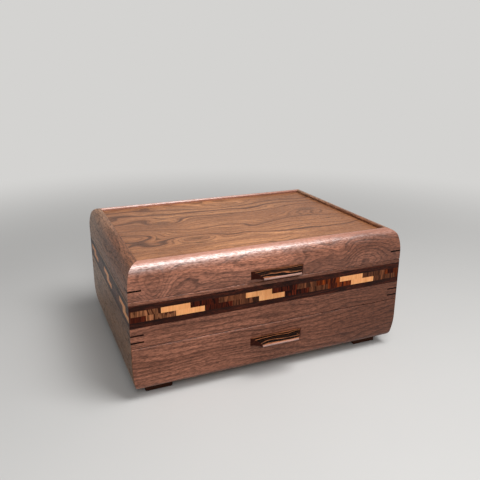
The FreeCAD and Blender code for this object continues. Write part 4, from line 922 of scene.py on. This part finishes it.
class CUFFLINK_OT_linings(bpy.types.Operator):
    """Felt sheets in the compartments and a suede pad in the lid"""

    bl_idname = "cufflink_box.linings"
    bl_label = "Make Linings"

    def execute(self, context):
        linings = context.scene.cufflink_linings
        felt = nap_material("compartment_felt_cloth", linings.felt, 0.0005, 0.05, 0.25, 0.00012, 0.25)
        for node, body, floor, name in (
                ("compartment_felt", "case", "compartment_floor", "felt_sheet"),
                ("drawer_felt", "drawer", "drawer_bottom", "drawer_felt_sheet")):
            low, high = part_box(node)

            def top_of(x, y):
                lift = noise.noise(Vector((x * FELT_WAVES, y * FELT_WAVES, 2.0)))
                edge = min(1.0, edge_distance(x, y, low, high) / FELT_EDGE)
                return high.z - linings.felt_wave * (1 - lift) / 2 - (1 - edge) * FELT_DROP

            mesh = slab(name, low, high, linings.felt_step, felt, top_of, lambda x, y: low.z)
            sheet = piece_from(name, mesh, body, node)
        self.make_pad(linings)
        return {"FINISHED"}

    def make_pad(self, linings):
        """The lid's pad: crowned towards the box, with its sides drawn in between the corners."""
        suede = nap_material("lid_suede", linings.suede, 0.00035, 0.035, 0.55, 0.00006, 0.35)
        low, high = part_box("lid_lining")
        full = high.z - low.z

        def bottom_of(x, y):
            edge = max(0.0, min(1.0, edge_distance(x, y, low, high) / linings.pad_shoulder))
            crown = math.sqrt(1 - (1 - edge) ** 2)
            ripple = noise.noise(Vector((x * PAD_WAVES, y * PAD_WAVES, 7.0))) * PAD_RIPPLE
            depth = linings.pad_edge + (full - linings.pad_edge) * crown
            return high.z - min(full, depth - PAD_EASE * crown + ripple * crown)

        def inset_of(u, v):
            """Sides pulled in, most of all half-way between the corners."""
            return (PAD_PULL * (1 - 2 * u) * math.sin(math.pi * v) if u in (0, 1) else 0.0,
                    PAD_PULL * (1 - 2 * v) * math.sin(math.pi * u) if v in (0, 1) else 0.0)

        mesh = slab("lid_pad", low, high, linings.pad_step, suede, lambda x, y: high.z, bottom_of, inset_of)
        piece_from("lid_pad", mesh, "lid", "lid_lining")


class CUFFLINK_OT_hinges(bpy.types.Operator):
    """Brass for the hinge leaves and pins"""

    bl_idname = "cufflink_box.hinges"
    bl_label = "Dress Hinges"

    def execute(self, context):
        brass = metal_material("hinge_brass", context.scene.cufflink_hardware.brass, 0.26)
        dress(brass, *("hinge_%s_%s" % (hand, part) for hand in HANDS
                       for part in ("case_leaf", "lid_leaf", "pin")))
        return {"FINISHED"}


class CUFFLINK_OT_screws(bpy.types.Operator):
    """Slotted countersunk screws in the hinges, the handles and the drawer front"""

    bl_idname = "cufflink_box.screws"
    bl_label = "Make Screws"

    def execute(self, context):
        hardware = context.scene.cufflink_hardware
        metals = {"brass": metal_material("screw_brass", hardware.brass, 0.24),
                  "steel": metal_material("screw_steel", hardware.steel, 0.3)}
        tree = screws_on_points()
        for where, body, way, shank, metal in SCREWS:
            node, name = where + "_screws", where + "_slotted_screws"
            solids = islands(node)
            way = Vector(way)
            axis = max(range(3), key=lambda k: abs(way[k]))
            size = solids[0][1] - solids[0][0]
            radius = min(size[k] for k in range(3) if k != axis) / 2
            screw = slotted_screw(
                name + "_one", radius, shank, size[axis], hardware.slot_width, hardware.slot_depth)
            heads = [(low + high) / 2 for low, high in solids]
            for head, (low, high) in zip(heads, solids):
                head[axis] = high[axis] if way[axis] > 0 else low[axis]
            points = bpy.data.meshes.new(name + "_points")
            points.from_pydata(heads, [], [])
            mesh = run_tree(tree, points, {
                "Screw": screw, "Head Way": way, "Turn Seed": hardware.turn_seed, "Material": metals[metal]})
            piece_from(name, mesh, body, node)
            bpy.data.objects.remove(screw)
        return {"FINISHED"}


class CUFFLINK_OT_studio(bpy.types.Operator):
    """Pale floor that turns into the backdrop, soft lamps and the camera"""

    bl_idname = "cufflink_box.studio"
    bl_label = "Make Studio"

    def execute(self, context):
        studio = context.scene.cufflink_studio
        self.make_floor(studio)
        for name, where, size, power in SOFTBOXES:
            self.make_lamp(name, where, size, getattr(studio, power))
        context.scene.world = self.make_sky(studio)
        camera = linked("camera", bpy.data.cameras.new("camera"))
        camera.location = studio.camera_place
        camera.rotation_euler = studio.camera_turn
        camera.data.lens = studio.lens
        camera.data.sensor_width = SENSOR_WIDTH
        context.scene.camera = camera
        context.scene.view_settings.view_transform = "Standard"
        return {"FINISHED"}

    def make_floor(self, studio):
        """A wide floor that keeps the box's shadow and turns into the backdrop's colour further off."""
        mesh = bpy.data.meshes.new("studio_floor")
        corners = [(-1, -1), (1, -1), (1, 1), (-1, 1)]
        mesh.from_pydata([(x * FLOOR_REACH, y * FLOOR_REACH, 0) for x, y in corners], [], [(0, 1, 2, 3)])
        material, tree, shader = blank_material("studio_paper")
        spot = place_of(tree)
        patches = span(clouds(spot, 3.0, scale=3.0), 0.3, 0.7)
        shade = mix(patches, toned(studio.floor, 0.97), studio.floor)
        set_shader(shader, shade, 0.9, Specular_IOR_Level=0.2)
        far = span(vectors("LENGTH", spot), *FLOOR_BLEND, smooth=True)
        glow = add(tree, "ShaderNodeEmission", {"Color": studio.backdrop, "Strength": 1.0}).outputs[0]
        both = step("ShaderNodeMixShader", {0: times(far, seen_rays(tree)), 1: shader.outputs[0], 2: glow})[0]
        out = next(node for node in tree.nodes if node.type == "OUTPUT_MATERIAL")
        feed(both, out.inputs["Surface"])
        mesh.materials.append(material)
        floor = linked("studio_floor", mesh)

    def make_sky(self, studio):
        """Weak even light all round, behind which the backdrop's colour is seen."""
        world = bpy.data.worlds.new("studio_sky")
        world.use_nodes = True
        tree = world.node_tree
        tree.nodes.clear()
        even, seen = (
            add(tree, "ShaderNodeBackground", {"Color": tint, "Strength": strength}).outputs[0]
            for tint, strength in (((1, 1, 1), studio.sky), (studio.backdrop, 1.0)))
        both = step("ShaderNodeMixShader", {0: seen_rays(tree), 1: even, 2: seen})[0]
        step("ShaderNodeOutputWorld", {"Surface": both})
        return world

    def make_lamp(self, name, where, size, power):
        """A softbox that looks at the box."""
        data = bpy.data.lights.new(name, "AREA")
        data.shape = "RECTANGLE"
        data.size, data.size_y = size
        data.energy = power
        lamp = linked(name, data)
        lamp.location = where
        lamp.rotation_euler = (AIM - Vector(where)).to_track_quat("-Z", "Y").to_euler()


class CUFFLINK_PT_panel(bpy.types.Panel):
    """Lists the parts of the cufflink box"""

    bl_idname = "CUFFLINK_PT_panel"
    bl_label = "Cufflink Box"
    bl_space_type = "VIEW_3D"
    bl_region_type = "UI"
    bl_category = "Cufflink Box"

    def draw(self, context):
        for settings, kind, makers in LAYOUT:
            box = self.layout.box()
            for maker in makers:
                box.operator(maker.bl_idname)
            for name in kind.__annotations__:
                box.prop(getattr(context.scene, settings), name)


LAYOUT = (
    ("cufflink_woods", CufflinkWoods, (
        CUFFLINK_OT_walls, CUFFLINK_OT_lid_panel, CUFFLINK_OT_keys, CUFFLINK_OT_banding, CUFFLINK_OT_handles,
        CUFFLINK_OT_drawer_box, CUFFLINK_OT_dividers)),
    ("cufflink_linings", CufflinkLinings, (CUFFLINK_OT_linings,)),
    ("cufflink_hardware", CufflinkHardware, (CUFFLINK_OT_hinges, CUFFLINK_OT_screws)),
    ("cufflink_studio", CufflinkStudio, (CUFFLINK_OT_studio,)),
)
MAKERS = [maker for settings, kind, makers in LAYOUT for maker in makers]


def register():
    for name, kind, makers in LAYOUT:
        bpy.utils.register_class(kind)
        setattr(bpy.types.Scene, name, bpy.props.PointerProperty(type=kind))
    for kind in (*MAKERS, CUFFLINK_PT_panel):
        bpy.utils.register_class(kind)


def unregister():
    for kind in (CUFFLINK_PT_panel, *reversed(MAKERS)):
        bpy.utils.unregister_class(kind)
    for name, kind, makers in reversed(LAYOUT):
        delattr(bpy.types.Scene, name)
        bpy.utils.unregister_class(kind)


def main():
    register()
    for maker in MAKERS:
        category, name = maker.bl_idname.split(".")
        getattr(getattr(bpy.ops, category), name)()


if __name__ == "__main__":
    main()
